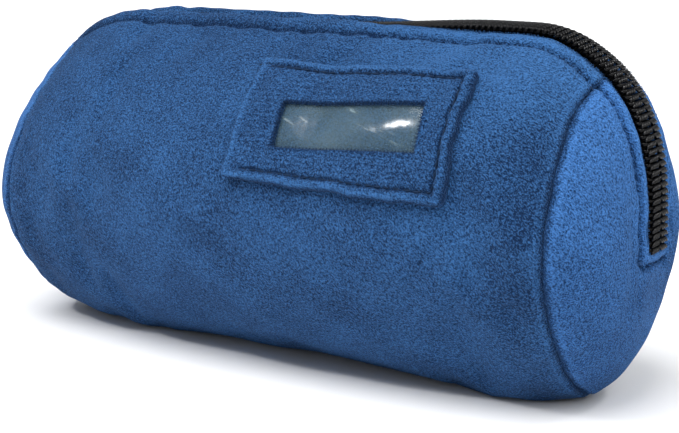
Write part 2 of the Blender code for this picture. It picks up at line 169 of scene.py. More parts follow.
class Paint(Wiring):
    """The nodes of one material, around a Principled shader."""

    def __init__(self, name: str, **sockets: object) -> None:
        """Makes the material.

        Args:
            name: the material's name.
            sockets: constants for the shader's own sockets, with _ for a space.
        """
        self.material = bpy.data.materials.new(name)
        self.material.use_nodes = True
        super().__init__(self.material.node_tree)
        self.tree.nodes.clear()
        fixed = {key.replace("_", " "): value for key, value in sockets.items()}
        self.shader = self.node("ShaderNodeBsdfPrincipled", {}, fixed)
        self.node("ShaderNodeOutputMaterial", {}, {"Surface": self.shader.outputs[0]})
        self.coordinates = self.node("ShaderNodeTexCoord").outputs["Object"]

    def noise(self, scale: float, detail: float = 2.0, stretch: Colour = (1, 1, 1),
              turn: Colour = (0, 0, 0), twist: float = 0.0) -> Shade:
        """A noise over the piece.

        Args:
            scale: repeats in a metre.
            detail: octaves.
            stretch: scale of each axis.
            turn: rotation of the pattern, in radians.
            twist: distortion.

        Returns:
            The noise, about 0.5 in the middle.
        """
        laid = self.node(
            "ShaderNodeMapping",
            {"vector_type": "TEXTURE"},
            {"Vector": self.coordinates, "Rotation": turn, "Scale": tuple(1 / s for s in stretch)},
        )
        made = self.node(
            "ShaderNodeTexNoise",
            {},
            {"Vector": laid.outputs[0], "Scale": scale, "Detail": detail, "Distortion": twist},
        )
        return Shade(self, made.outputs[0])

    def wave(self, scale: float, axis: str, twist: float = 0.0) -> Shade:
        """Even ridges over the piece.

        Args:
            scale: ridges in a metre.
            axis: the direction across them.
            twist: distortion.

        Returns:
            The ridges' height, from 0 to 1.
        """
        made = self.node(
            "ShaderNodeTexWave",
            {"bands_direction": axis},
            {"Vector": self.coordinates, "Scale": scale * math.pi / 10, "Distortion": twist},
        )
        return Shade(self, made.outputs["Fac"])

    def kept(self, name: str) -> Shade:
        """A value kept at each point of a piece, or 0 on a piece that keeps none."""
        return Shade(self, self.node("ShaderNodeAttribute", {"attribute_name": name}).outputs["Fac"])

    def tint(self, factor: Shade, low: Colour, high: Colour) -> None:
        """Feeds the shader a colour between two, by a value."""
        sockets = {0: factor, 6: (*low, 1.0), 7: (*high, 1.0)}
        self.feed("Base Color", self.node("ShaderNodeMix", {"data_type": "RGBA"}, sockets).outputs[2])

    def raise_by(self, height: Shade, distance: float) -> None:
        """Feeds a height to the shader's normal through a Bump node."""
        sockets = {"Height": height, "Distance": distance, "Strength": 1.0}
        self.feed("Normal", self.node("ShaderNodeBump", {}, sockets).outputs[0])

    def feed(self, socket: str, source: "Shade | bpy.types.NodeSocket") -> None:
        """Links a value or colour to a socket of the shader."""
        self.tree.links.new(getattr(source, "socket", source), self.shader.inputs[socket])


# ---------------------------------------------------------------- finishes


@dataclass(frozen=True)
class Velour:
    """Short-pile velour, combed by handling."""

    name: str = "velour"
    deep: Colour = (0.0035, 0.021, 0.073)
    lit: Colour = (0.046, 0.160, 0.410)
    sheen: float = 0.16
    sheen_tint: Colour = (0.25, 0.50, 1.0)
    ribs: float = 0.0

    def material(self) -> bpy.types.Material:
        """Makes the finish.

        Returns:
            The material.
        """
        paint = Paint(
            self.name, Sheen_Weight=self.sheen, Sheen_Roughness=0.35,
            Sheen_Tint=(*self.sheen_tint, 1.0), Specular_IOR_Level=0.12,
        )
        strand = paint.noise(2500, 1.0, stretch=(0.8, 1.1, 1.1), turn=(0.0, 0.75, 0.0))
        tuft = paint.noise(1500, 1.0, stretch=(0.7, 1.1, 1.1), turn=(0.0, 0.62, 0.0), twist=0.2)
        comb = paint.noise(60, 4.0, stretch=(1.0, 2.2, 2.4), turn=(0.0, 0.55, 0.0), twist=0.3)
        drift = paint.noise(15, 2.0, twist=0.8)
        nap = 2.5 * (strand - 0.5) + 0.7 * (tuft - 0.5) + 0.24 * (comb - 0.5) + 0.28 * (drift - 0.5)
        # Painted light and shade kept on the pieces: painted highlights, painted shade and some random nap
        # tone, less painted shade in the sewing and at edges.
        painted_light_and_nap = 0.5 * paint.kept("brushed") - 0.62 * paint.kept("crease")
        shade = (0.40 + nap + painted_light_and_nap).held()
        paint.tint(shade, self.deep, self.lit)
        paint.feed("Roughness", (0.95 - 0.2 * tuft).held())
        height = 1.2 * strand + 1.2 * tuft + 0.4 * comb
        if self.ribs:
            height = height + self.ribs * paint.wave(800, "Z", 1.5)
        paint.raise_by(height, 0.0010)
        return paint.material


@dataclass(frozen=True)
class Satin:
    """Smooth woven lining."""

    name: str = "lining"
    warp: Colour = (0.014, 0.024, 0.050)
    weft: Colour = (0.030, 0.048, 0.090)

    def material(self) -> bpy.types.Material:
        """Makes the finish.

        Returns:
            The material.
        """
        paint = Paint(self.name, Sheen_Weight=0.2, Sheen_Roughness=0.4, Specular_IOR_Level=0.4)
        threads = paint.wave(1500, "X", 0.4) * paint.wave(1500, "Z", 0.4)
        slub = paint.noise(140, 3.0, stretch=(1, 6, 6))
        paint.tint((0.6 * threads + 0.5 * slub).held(), self.warp, self.weft)
        paint.feed("Roughness", (0.42 + 0.25 * slub).held())
        paint.raise_by(threads + 0.5 * slub, 0.00012)
        return paint.material


@dataclass(frozen=True)
class Foam:
    """Open-cell foam, as on a cut edge."""

    name: str = "padding"
    cell: Colour = (0.22, 0.22, 0.23)
    skin: Colour = (0.52, 0.52, 0.54)

    def material(self) -> bpy.types.Material:
        """Makes the finish.

        Returns:
            The material.
        """
        paint = Paint(self.name, Specular_IOR_Level=0.2)
        cells = paint.node("ShaderNodeTexVoronoi", {}, {"Vector": paint.coordinates, "Scale": 900.0})
        size = Shade(paint, cells.outputs[0])
        blotch = paint.noise(60, 2.0)
        paint.tint((1.1 * size + 0.3 * blotch).held(), self.cell, self.skin)
        paint.feed("Roughness", (0.85 + 0.1 * blotch).held())
        paint.raise_by(size, 0.0006)
        return paint.material


@dataclass(frozen=True)
class TapeWeave:
    """Twill tape beside the zip's coils."""

    name: str = "zip_tape"
    thread: Colour = (0.004, 0.004, 0.005)
    crest: Colour = (0.010, 0.010, 0.012)

    def material(self) -> bpy.types.Material:
        """Makes the finish.

        Returns:
            The material.
        """
        paint = Paint(self.name, Specular_IOR_Level=0.12)
        twill = paint.wave(1250, "DIAGONAL", 0.3)
        across = paint.wave(1400, "Y", 0.2)
        dust = paint.noise(240, 3.0)
        weave = 0.6 * twill + 0.4 * across
        paint.tint((0.8 * weave + 0.4 * dust - 0.1).held(), self.thread, self.crest)
        paint.feed("Roughness", (0.6 + 0.3 * dust).held())
        paint.raise_by(weave, 0.00018)
        return paint.material


@dataclass(frozen=True)
class Nylon:
    """Glossy black monofilament or thread."""

    name: str = "zip_coil"
    colour: Colour = (0.0012, 0.0012, 0.0018)
    worn: Colour = (0.004, 0.004, 0.005)
    gloss: float = 0.05
    shine: float = 0.14
    grain: float = 900.0

    def material(self) -> bpy.types.Material:
        """Makes the finish.

        Returns:
            The material.
        """
        paint = Paint(self.name, Specular_IOR_Level=self.shine)
        wear = paint.noise(self.grain, 3.0)
        paint.tint((1.6 * wear - 0.4).held(), self.colour, self.worn)
        paint.feed("Roughness", (self.gloss + 0.12 * wear).held())
        paint.raise_by(wear, 0.00005)
        return paint.material


@dataclass(frozen=True)
class Enamel:
    """Black enamel over die-cast metal, rubbed in places."""

    name: str = "zip_metal"
    coat: Colour = (0.010, 0.010, 0.011)
    bare: Colour = (0.075, 0.075, 0.080)

    def material(self) -> bpy.types.Material:
        """Makes the finish.

        Returns:
            The material.
        """
        paint = Paint(self.name, Specular_IOR_Level=0.5)
        peel = paint.noise(700, 2.0)
        rub = ((paint.noise(190, 4.0) - 0.56) * 9.0).held()
        paint.tint(rub * 0.7, self.coat, self.bare)
        paint.feed("Metallic", (0.25 + 0.6 * rub).held())
        paint.feed("Roughness", (0.24 + 0.14 * peel + 0.12 * rub).held())
        paint.raise_by(peel, 0.00004)
        return paint.material


@dataclass(frozen=True)
class Vinyl:
    """Clear soft vinyl, scuffed and a little cloudy."""

    name: str = "clear_vinyl"
    clear: Colour = (0.05, 0.105, 0.14)
    cloud: Colour = (0.17, 0.25, 0.29)

    def material(self) -> bpy.types.Material:
        """Makes the finish.

        Returns:
            The material.
        """
        paint = Paint(self.name, Specular_IOR_Level=0.5, IOR=1.48)
        haze = paint.noise(70, 3.0, twist=0.5)
        marks = paint.noise(260, 3.0, stretch=(0.35, 1.0, 2.6), turn=(0.0, 0.3, 0.0))
        scuff = ((marks - 0.62) * 9.0).held()
        paint.tint((0.8 * haze + 0.5 * scuff).held(), self.clear, self.cloud)
        paint.feed("Alpha", (0.20 + 0.22 * haze + 0.35 * scuff).held())
        paint.feed("Roughness", (0.06 + 0.12 * haze + 0.3 * scuff).held())
        paint.raise_by(haze, 0.00015)
        return paint.material


@dataclass(frozen=True)
class Sweep:
    """The studio's pale paper floor."""

    name: str = "studio_floor"
    paper: Colour = (0.88, 0.88, 0.885)
    fibre: Colour = (0.93, 0.93, 0.93)

    def material(self) -> bpy.types.Material:
        """Makes the finish.

        Returns:
            The material.
        """
        paint = Paint(self.name, Specular_IOR_Level=0.15)
        fibre = paint.noise(30, 3.0)
        paint.tint(fibre, self.paper, self.fibre)
        paint.feed("Roughness", (0.7 + 0.1 * fibre).held())
        return paint.material


# ---------------------------------------------------------------- form


def smooth_step(value: Array, start: float, stop: float) -> Array:
    """A rise from 0 at start to 1 at stop, eased at both ends."""
    share = np.clip((value - start) / (stop - start), 0, 1)
    return share * share * (3 - 2 * share)


def hill(value: Array, middle: float, width: float) -> Array:
    """A smooth hill, 1 at its middle and almost 0 two widths from it."""
    return np.exp(-(((value - middle) / width) ** 2))


def soft_floor(height: Array, floor: float, ease: float = 0.7 * MM) -> Array:
    """Heights held above a floor, with an eased corner."""
    over = (height - floor) / ease
    return floor + ease * np.logaddexp(0.0, over)


def stations(length: float, step: float, start: bool = True, end: bool = True) -> Array:
    """Places along a grid's side, close together beside its sewn edges.

    Args:
        length: the side's length.
        step: the spacing away from the edges.
        start: whether its start is a sewn edge.
        end: whether its end is a sewn edge.

    Returns:
        Shares of the length, from 0 to 1.
    """
    fine = np.array([0.0, 0.1, 0.25, 0.45, 0.7, 1.0, 1.3, 1.6, 2.0, 2.4, 2.9, 3.4, 3.8, 4.15, 4.45,
                     4.75, 5.05, 5.35, 5.7, 6.2, 6.9, 7.8]) * MM
    first = fine if start else np.zeros(1)
    last = length - fine[::-1] if end else np.full(1, length)
    count = max(2, round((last[0] - first[-1]) / step))
    middle = np.linspace(first[-1], last[0], count + 1)[1:-1]
    return np.concatenate([first, middle, last]) / length


def lengths(line: Array) -> Array:
    """Measures along lines.

    Args:
        line: one line's points, or a stack of lines.

    Returns:
        The distance along the line at each of its points.
    """
    steps = np.linalg.norm(np.diff(line, axis=-2), axis=-1)
    zero = np.zeros((*steps.shape[:-1], 1))
    return np.concatenate([zero, np.cumsum(steps, axis=-1)], axis=-1)


def resampled(line: Array, places: Array) -> Array:
    """Points of a line at given distances along it."""
    along = lengths(line)
    return np.stack([np.interp(places, along, line[:, axis]) for axis in range(3)], axis=-1)


def eased(line: Array, passes: int) -> Array:
    """Eases a line's corners and keeps its ends.

    Args:
        line: the line's points.
        passes: how many times each point moves towards its neighbours.

    Returns:
        The eased line.
    """
    line = line.copy()
    for _ in range(passes):
        line[1:-1] = 0.25 * line[:-2] + 0.5 * line[1:-1] + 0.25 * line[2:]
    return line


def nearest(points: Array, line: Array) -> tuple[Array, Array]:
    """How far points are from a line.

    Args:
        points: any grid of points.
        line: the line's points.

    Returns:
        Each point's distance, and how far along the line its nearest place is.
    """
    flat = points.reshape(-1, 3)
    along = lengths(line)
    far = np.empty(len(flat))
    where = np.empty(len(flat))
    for start in range(0, len(flat), 3000):
        block = flat[start : start + 3000]
        gaps = np.linalg.norm(block[:, None, :] - line[None, :, :], axis=2)
        best = gaps.argmin(axis=1)
        far[start : start + 3000] = gaps[np.arange(len(block)), best]
        where[start : start + 3000] = along[best]
    return far.reshape(points.shape[:-1]), where.reshape(points.shape[:-1])


def grid_normals(grid: Array) -> Array:
    """Works out a grid's normals.

    Args:
        grid: points, columns by rows.

    Returns:
        A unit normal at each point.
    """
    across = np.gradient(grid, axis=0)
    down = np.gradient(grid, axis=1)
    found = np.cross(across, down)
    size = np.linalg.norm(found, axis=-1, keepdims=True)
    return found / np.maximum(size, 1e-12)


@dataclass(frozen=True)
class Ripples:
    """Gentle unevenness that is the same on every run."""

    seed: int
    shortest: float
    longest: float
    count: int = 9

    def at(self, points: Array) -> Array:
        """Adds up the waves.

        Args:
            points: points in space, or distances along a line.

        Returns:
            The unevenness at each, about -1 to 1.
        """
        rng = np.random.default_rng(self.seed)
        total = 0.0
        for _ in range(self.count):
            wavelength = math.exp(rng.uniform(math.log(self.shortest), math.log(self.longest)))
            way = rng.normal(size=3)
            way *= 2 * math.pi / wavelength / np.linalg.norm(way)
            phase = rng.uniform(0, 2 * math.pi)
            if points.ndim and points.shape[-1] == 3:
                total = total + np.sin(points @ way + phase)
            else:
                total = total + np.sin(points * 2 * math.pi / wavelength + phase)
        return total / math.sqrt(self.count)


@dataclass(frozen=True)
class Form:
    """The outer form that every layer follows: a barrel body between two domed ends."""

    half_depth: float
    top: float
    bulge: dict
    half_length: float = 88 * MM
    barrel: float = 4.1 * MM
    pinch: float = 1.8 * MM
    sink: float = 3.9 * MM
    lift: float = 4.8 * MM
    drop: tuple[float, float] = (13.7 * MM, 7.4 * MM)
    flat: tuple[float, float] = (0.60, 0.78)
    widest: float = 0.49
    roundness: float = 1.65
    end_roundness: float = 3.2
    foot: float = 42 * MM
    mouth: float = 6 * MM
    fold: tuple[float, float] = (30 * MM, 54 * MM)
    lean: float = 8 * MM
    flare: float = 3 * MM
    follow: float = 4.0

    def section(self, x: Array, inset: float) -> tuple[Array, Array, Array, Array]:
        """The body's section at stations.

        Args:
            x: stations.
            inset: depth below the outer face.

        Returns:
            Half depth, the height of the widest line, the rise above it and the fall below it.
        """
        right = np.asarray(x) >= 0
        level = np.where(right, self.flat[1], self.flat[0])
        share = np.clip((np.abs(x) / self.half_length - level) / (1 - level), 0, None) ** 2
        half = self.half_depth - self.barrel * (x / self.half_length) ** 2 - self.pinch * share - inset
        top = self.top - np.where(right, self.drop[1], self.drop[0]) * share - inset
        bottom = inset - self.sink + self.lift * share
        middle = bottom + (top - bottom) * self.widest
        return half, middle, top - middle, middle - bottom

    def height_share(self, angle: Array) -> Array:
        """How high a direction of the section is, from -1 to 1."""
        rise = np.sin(angle)
        return np.sign(rise) * np.abs(rise) ** (2 / self.roundness)

    def seam_x(self, end: End, high: Array) -> Array:
        """Finds the end's seam.

        Args:
            end: which end.
            high: height shares, from -1 to 1.

        Returns:
            Where the seam crosses each of them.
        """
        if end is End.LEFT:
            move = self.lean * np.clip(high, 0, 1) ** 2
        else:
            move = -self.flare * np.clip((high - 0.7) / 0.3, 0, 1) ** 2
        return end.value * (self.half_length - move)

    def on_body(self, x: Array, angle: Array, flank: Flank, inset: float) -> Array:
        """Points of the body.

        Args:
            x: stations.
            angle: directions in the section, from the widest line up.
            flank: which half.
            inset: depth below the outer face.

        Returns:
            The points.
        """
        half, middle, rise, fall = self.section(x, inset)
        high = self.height_share(angle)
        y = flank.value * half * np.abs(np.cos(angle)) ** (2 / self.roundness)
        z = middle + np.where(high > 0, rise, fall) * high
        return np.stack([x + 0 * y, y, soft_floor(z, inset)], axis=-1)

    def on_end(self, end: End, depth: Array, height: Array, inset: float) -> Array:
        """Points of a domed end, by place in its seam's plane.

        Args:
            end: which end.
            depth: Y in the plane.
            height: Z in the plane.
            inset: depth below the outer face.

        Returns:
            The points.
        """
        plane = np.asarray(end.value * self.half_length)
        half, middle, rise, fall = self.section(plane, inset)
        upper = height > middle
        up = (height - middle) / np.where(upper, rise, fall)
        radius = np.abs(depth / half) ** self.roundness + np.abs(up) ** self.roundness
        radius = np.clip(radius ** (1 / self.roundness), 1e-6, 1.0)
        high = np.clip(up / radius, -1, 1)
        seam = self.seam_x(end, high)
        wide, centre, over, under = self.section(seam, inset)
        edge = centre + high * np.where(upper, over, under)
        there = middle + high * np.where(upper, rise, fall)
        pull = radius**self.follow
        dome = (self.bulge[end] - inset) * (1 - radius**self.end_roundness)
        x = plane + end.value * dome + (seam - plane) * pull
        y = depth * (1 + (wide / half - 1) * pull)
        z = height + (edge - there) * pull
        return np.stack([x, y, soft_floor(z, inset)], axis=-1)

    def body_patch(self, flank: Flank, columns: Array, rows: Array, inset: float, mouth: float) -> Array:
        """Half of the body, from the mouth's edge down to the middle of the base.

        Args:
            flank: which half.
            columns: shares of the way from the left seam to the right one.
            rows: shares of the way down.
            inset: depth below the outer face.
            mouth: half width of the mouth at this layer.

        Returns:
            A grid of points, columns by rows.
        """
        share = columns[:, None]

        def station(high: Array) -> Array:
            """Stations between the two seams at a height share."""
            left = self.seam_x(End.LEFT, high)
            return left + (self.seam_x(End.RIGHT, high) - left) * share

        half = self.section(station(np.full((1, 1), 0.97)), inset)[0]
        hem = np.arccos((mouth / half) ** (self.roundness / 2))
        angle = hem - (math.pi / 2 + hem) * np.linspace(0, 1, 700)[None, :]
        line = self.on_body(station(self.height_share(angle)), angle, flank, inset)
        along = lengths(line)
        chosen = np.stack([
            np.interp(rows * along[i, -1], along[i], angle[i]) for i in range(len(columns))
        ])
        grid = self.on_body(station(self.height_share(chosen)), chosen, flank, inset)
        grid[:, -1, 1] = 0.0
        return grid

    def end_patch(self, end: End, flank: Flank, columns: Array, rows: Array, inset: float,
                  mouth: float, foot: float) -> Array:
        """Half of a domed end, as a patch with four sides.

        Its sides are the middle line below the mouth, the mouth's edge, and the seam above and
        below the widest line.

        Args:
            end: which end.
            flank: which half.
            columns: shares from the middle line out to the seam.
            rows: shares from the seam's underside up to the mouth.
            inset: depth below the outer face.
            mouth: half width of the mouth at this layer.
            foot: height of the mouth's lower end.

        Returns:
            A grid of points, columns by rows.
        """
        plane = np.asarray(end.value * self.half_length)
        half, middle, rise, fall = (float(v) for v in self.section(plane, inset))
        seam = self.seam_x(end, np.asarray(0.97))
        narrow = mouth * half / float(self.section(seam, inset)[0])
        power = 2 / self.roundness
        corner = math.acos((narrow / half) ** (1 / power))

        def arc(start: float, stop: float, shares: Array) -> Array:
            """Places along the seam between two directions, in its plane.

            Args:
                start: the first direction.
                stop: the last one.
                shares: shares of the way.

            Returns:
                Depths and heights.
            """
            angle = np.linspace(start, stop, 600)
            high = self.height_share(angle)
            tall = np.where(high > 0, rise, fall)
            line = np.stack([half * np.cos(angle) ** power, middle + tall * high, 0 * angle], axis=-1)
            return resampled(line, shares * lengths(line)[-1])[:, :2]

        peak = middle + rise * (1 - (narrow / half) ** self.roundness) ** (1 / self.roundness)
        bend = 0.9 * MM
        corner_angle = np.linspace(0, math.pi / 2, 7)
        turn = np.stack([
            mouth - bend + bend * np.sin(corner_angle),
            foot + bend - bend * np.cos(corner_angle),
        ], axis=-1)
        edge = np.concatenate([[[0.0, foot]], turn, [[narrow, peak]]])
        edge = np.concatenate([edge, np.zeros((len(edge), 1))], axis=1)
        hem = resampled(edge, columns * lengths(edge)[-1])[:, :2]
        below = arc(-math.pi / 2, 0.0, columns)
        above = arc(0.0, corner, rows)
        centre = np.stack([0 * rows, below[0, 1] + (foot - below[0, 1]) * rows], axis=-1)
        s, t = columns[:, None, None], rows[None, :, None]
        flat = (1 - s) * centre[None] + s * above[None] + (1 - t) * below[:, None] + t * hem[:, None]
        flat = flat - (
            (1 - s) * (1 - t) * centre[0] + s * (1 - t) * above[0]
            + (1 - s) * t * centre[-1] + s * t * above[-1]
        )
        return self.on_end(end, flank.value * flat[..., 0], flat[..., 1], inset)

    def mouth_line(self, flank: Flank, offset: float, inset: float, foot: float, count: int = 1500) -> Array:
        """The line beside the mouth's middle, from the left foot over the top to the right one.

        Args:
            flank: which side.
            offset: distance from the middle.
            inset: depth below the outer face.
            foot: height of its two lower ends.
            count: how many points.

        Returns:
            The line's points, evenly spaced.
        """
        parts = []
        for end in (End.LEFT, End.RIGHT):
            seam = self.seam_x(end, np.asarray(0.97))
            plane = np.asarray(end.value * self.half_length)
            half, middle, rise, _ = (float(v) for v in self.section(plane, inset))
            narrow = offset * half / float(self.section(seam, inset)[0])
            peak = middle + rise * (1 - (narrow / half) ** self.roundness) ** (1 / self.roundness)
            height = np.linspace(foot, peak, 300)
            spread = (narrow - offset) * ((height - foot) / (peak - foot)) ** self.follow
            parts.append(self.on_end(end, flank.value * (offset + spread), height, inset))
        x = np.linspace(parts[0][-1, 0], parts[1][-1, 0], 700)[1:-1]
        half, middle, rise, _ = self.section(x, inset)
        z = middle + rise * (1 - (offset / half) ** self.roundness) ** (1 / self.roundness)
        top = np.stack([x, 0 * x + flank.value * offset, z], axis=-1)
        line = np.concatenate([parts[0], top, parts[1][::-1]])
        line = resampled(line, np.linspace(0, lengths(line)[-1], count))
        return eased(line, 60)

    def seam_line(self, end: End, flank: Flank, inset: float) -> Array:
        """The end's seam, from the mouth's edge to the middle of the base.

        Args:
            end: which end.
            flank: which half.
            inset: depth below the outer face.

        Returns:
            The line's points.
        """
        angle = np.linspace(math.pi / 2, -math.pi / 2, 900)
        x = self.seam_x(end, self.height_share(angle))
        return self.on_body(x, angle, flank, inset)


# ---------------------------------------------------------------- meshes


def linked(name: str, data: bpy.types.ID) -> bpy.types.Object:
    """Puts a new object in the scene, at its origin.

    Args:
        name: the object's name.
        data: its mesh, lamp or camera.

    Returns:
        The new object.
    """
    made = bpy.data.objects.new(name, data)
    bpy.context.scene.collection.objects.link(made)
    return made


def mesh_piece(name: str, points: Array, faces: Array | list,
               material: bpy.types.Material) -> bpy.types.Object:
    """Makes a smooth mesh piece with its faces turned outwards.

    Args:
        name: the piece's name.
        points: its points.
        faces: its faces, as point numbers.
        material: its finish.

    Returns:
        The new object.
    """
    points = np.asarray(points, float)
    faces = np.asarray(faces)
    corners = points[faces]
    volume = 0.0
    for i in range(1, faces.shape[1] - 1):
        volume += np.einsum("ij,ij->i", corners[:, 0], np.cross(corners[:, i], corners[:, i + 1])).sum()
    if volume < 0:
        faces = faces[:, ::-1]
    mesh = bpy.data.meshes.new(name)
    mesh.from_pydata(points.tolist(), [], faces.tolist())
    mesh.polygons.foreach_set("use_smooth", [True] * len(mesh.polygons))
    mesh.materials.append(material)
    mesh.update()
    return linked(name, mesh)


def shell_piece(name: str, outer: Array, inner: Array, material: bpy.types.Material,
                ring: bool = False) -> bpy.types.Object:
    """Closes two grids into one shell.

    Args:
        name: the piece's name.
        outer: the outer face's grid.
        inner: the inner face's grid.
        material: its finish.
        ring: whether the grid's columns close on themselves.

    Returns:
        The new object.
    """
    wide, tall = outer.shape[:2]
    number = np.arange(wide * tall).reshape(wide, tall)
    if ring:
        number = np.concatenate([number, number[:1]])
    quads = np.stack([number[:-1, :-1], number[1:, :-1], number[1:, 1:], number[:-1, 1:]], axis=-1)
    quads = quads.reshape(-1, 4)
    size = wide * tall
    sides = [number[:, 0], number[::-1, -1]]
    if not ring:
        sides += [number[0, ::-1], number[-1, :]]
    rims = [
        np.stack([side[1:], side[:-1], side[:-1] + size, side[1:] + size], axis=-1) for side in sides
    ]
    faces = np.concatenate([quads, quads[:, ::-1] + size, *rims])
    points = np.concatenate([outer.reshape(-1, 3), inner.reshape(-1, 3)])
    made = mesh_piece(name, points, faces, material)
    edge = np.zeros(2 * size, bool)
    rim = np.concatenate(sides)
    edge[rim] = True
    edge[rim + size] = True
    ends = np.empty(2 * len(made.data.edges), np.int32)
    made.data.edges.foreach_get("vertices", ends)
    ends = ends.reshape(-1, 2)
    sharp = edge[ends].all(axis=1) & ((ends < size).all(axis=1) | (ends >= size).all(axis=1))
    made.data.attributes.new("sharp_edge", "BOOLEAN", "EDGE").data.foreach_set("value", sharp)
    return made


def mark(piece: bpy.types.Object, name: str, values: Array) -> None:
    """Keeps a value at each point of a shell's outer face, and 0 on its inner one.

    Args:
        piece: the shell.
        name: the name that its finish reads the value by.
        values: the outer grid's values.
    """
    field = np.zeros(len(piece.data.vertices), np.float32)
    field[:values.size] = values.ravel()
    piece.data.attributes.new(name, "FLOAT", "POINT").data.foreach_set("value", field)


def spline_weights(places: Array, count: int) -> Array:
    """Works out how values on an even row of knots carry smoothly to other places.

    Args:
        places: shares of the row's length.
        count: how many knots it has.

    Returns:
        A weight for each place and knot.
    """
    at = np.clip(places, 0, 1) * (count - 1)
    low = np.minimum(at.astype(int), count - 2)
    t = at - low
    weights = np.zeros((len(places), count))
    basis = [
        -0.5 * t + t**2 - 0.5 * t**3,
        1 - 2.5 * t**2 + 1.5 * t**3,
        0.5 * t + 2 * t**2 - 1.5 * t**3,
        -0.5 * t**2 + 0.5 * t**3,
    ]
    for step, share in enumerate(basis):
        np.add.at(weights, (np.arange(len(places)), np.clip(low + step - 1, 0, count - 1)), share)
    return weights


@dataclass(frozen=True)
class Stuffing:
    """Swells a sewn panel over its padding with a cloth simulation."""

    pressure: float = 4.0
    frames: int = 20
    cap: float = 1.3 * MM
    slack: float = 0.012

    def swell(self, grid: Array) -> Array:
        """Runs the cloth on a coarse grid held at its sewn edges.

        Args:
            grid: the panel's points, with an even spacing.

        Returns:
            How far each point moved along its normal, capped.
        """
        wide, tall = grid.shape[:2]
        number = np.arange(wide * tall).reshape(wide, tall)
        quads = np.stack([number[:-1, :-1], number[1:, :-1], number[1:, 1:], number[:-1, 1:]], axis=-1)
        mesh = bpy.data.meshes.new("panel_blank")
        mesh.from_pydata(grid.reshape(-1, 3).tolist(), [], quads.reshape(-1, 4).tolist())
        blank = linked("panel_blank", mesh)
        held = blank.vertex_groups.new(name="sewn")
        rim = np.concatenate([number[0], number[-1], number[:, 0], number[:, -1]])
        held.add([int(v) for v in set(rim.tolist())], 1.0, "REPLACE")
        cloth = blank.modifiers.new("cloth", "CLOTH")
        cloth.settings.quality = 6
        cloth.settings.mass = 0.2
        cloth.settings.tension_stiffness = 25
        cloth.settings.compression_stiffness = 10
        cloth.settings.shear_stiffness = 6
        cloth.settings.bending_stiffness = 0.4
        cloth.settings.vertex_group_mass = "sewn"
        cloth.settings.shrink_min = -self.slack
        cloth.settings.use_pressure = True
        cloth.settings.uniform_pressure_force = self.pressure
        cloth.settings.effector_weights.gravity = 0.0
        cloth.collision_settings.use_self_collision = False
        cloth.point_cache.frame_start = 1
        cloth.point_cache.frame_end = self.frames
        scene = bpy.context.scene
        for step in range(1, self.frames + 1):
            scene.frame_set(step)
        evaluated = blank.evaluated_get(bpy.context.evaluated_depsgraph_get())
        moved = np.empty(wide * tall * 3, np.float32)
        evaluated.data.vertices.foreach_get("co", moved)
        scene.frame_set(1)
        bpy.data.objects.remove(blank)
        bpy.data.meshes.remove(mesh)
        shift = ((moved.reshape(wide, tall, 3) - grid) * grid_normals(grid)).sum(axis=-1)
        log.info("cloth moved %.2f to %.2f mm", shift.min() * 1000, shift.max() * 1000)
        return self.cap * np.tanh(shift / self.cap)


# ---------------------------------------------------------------- repeated work in geometry nodes


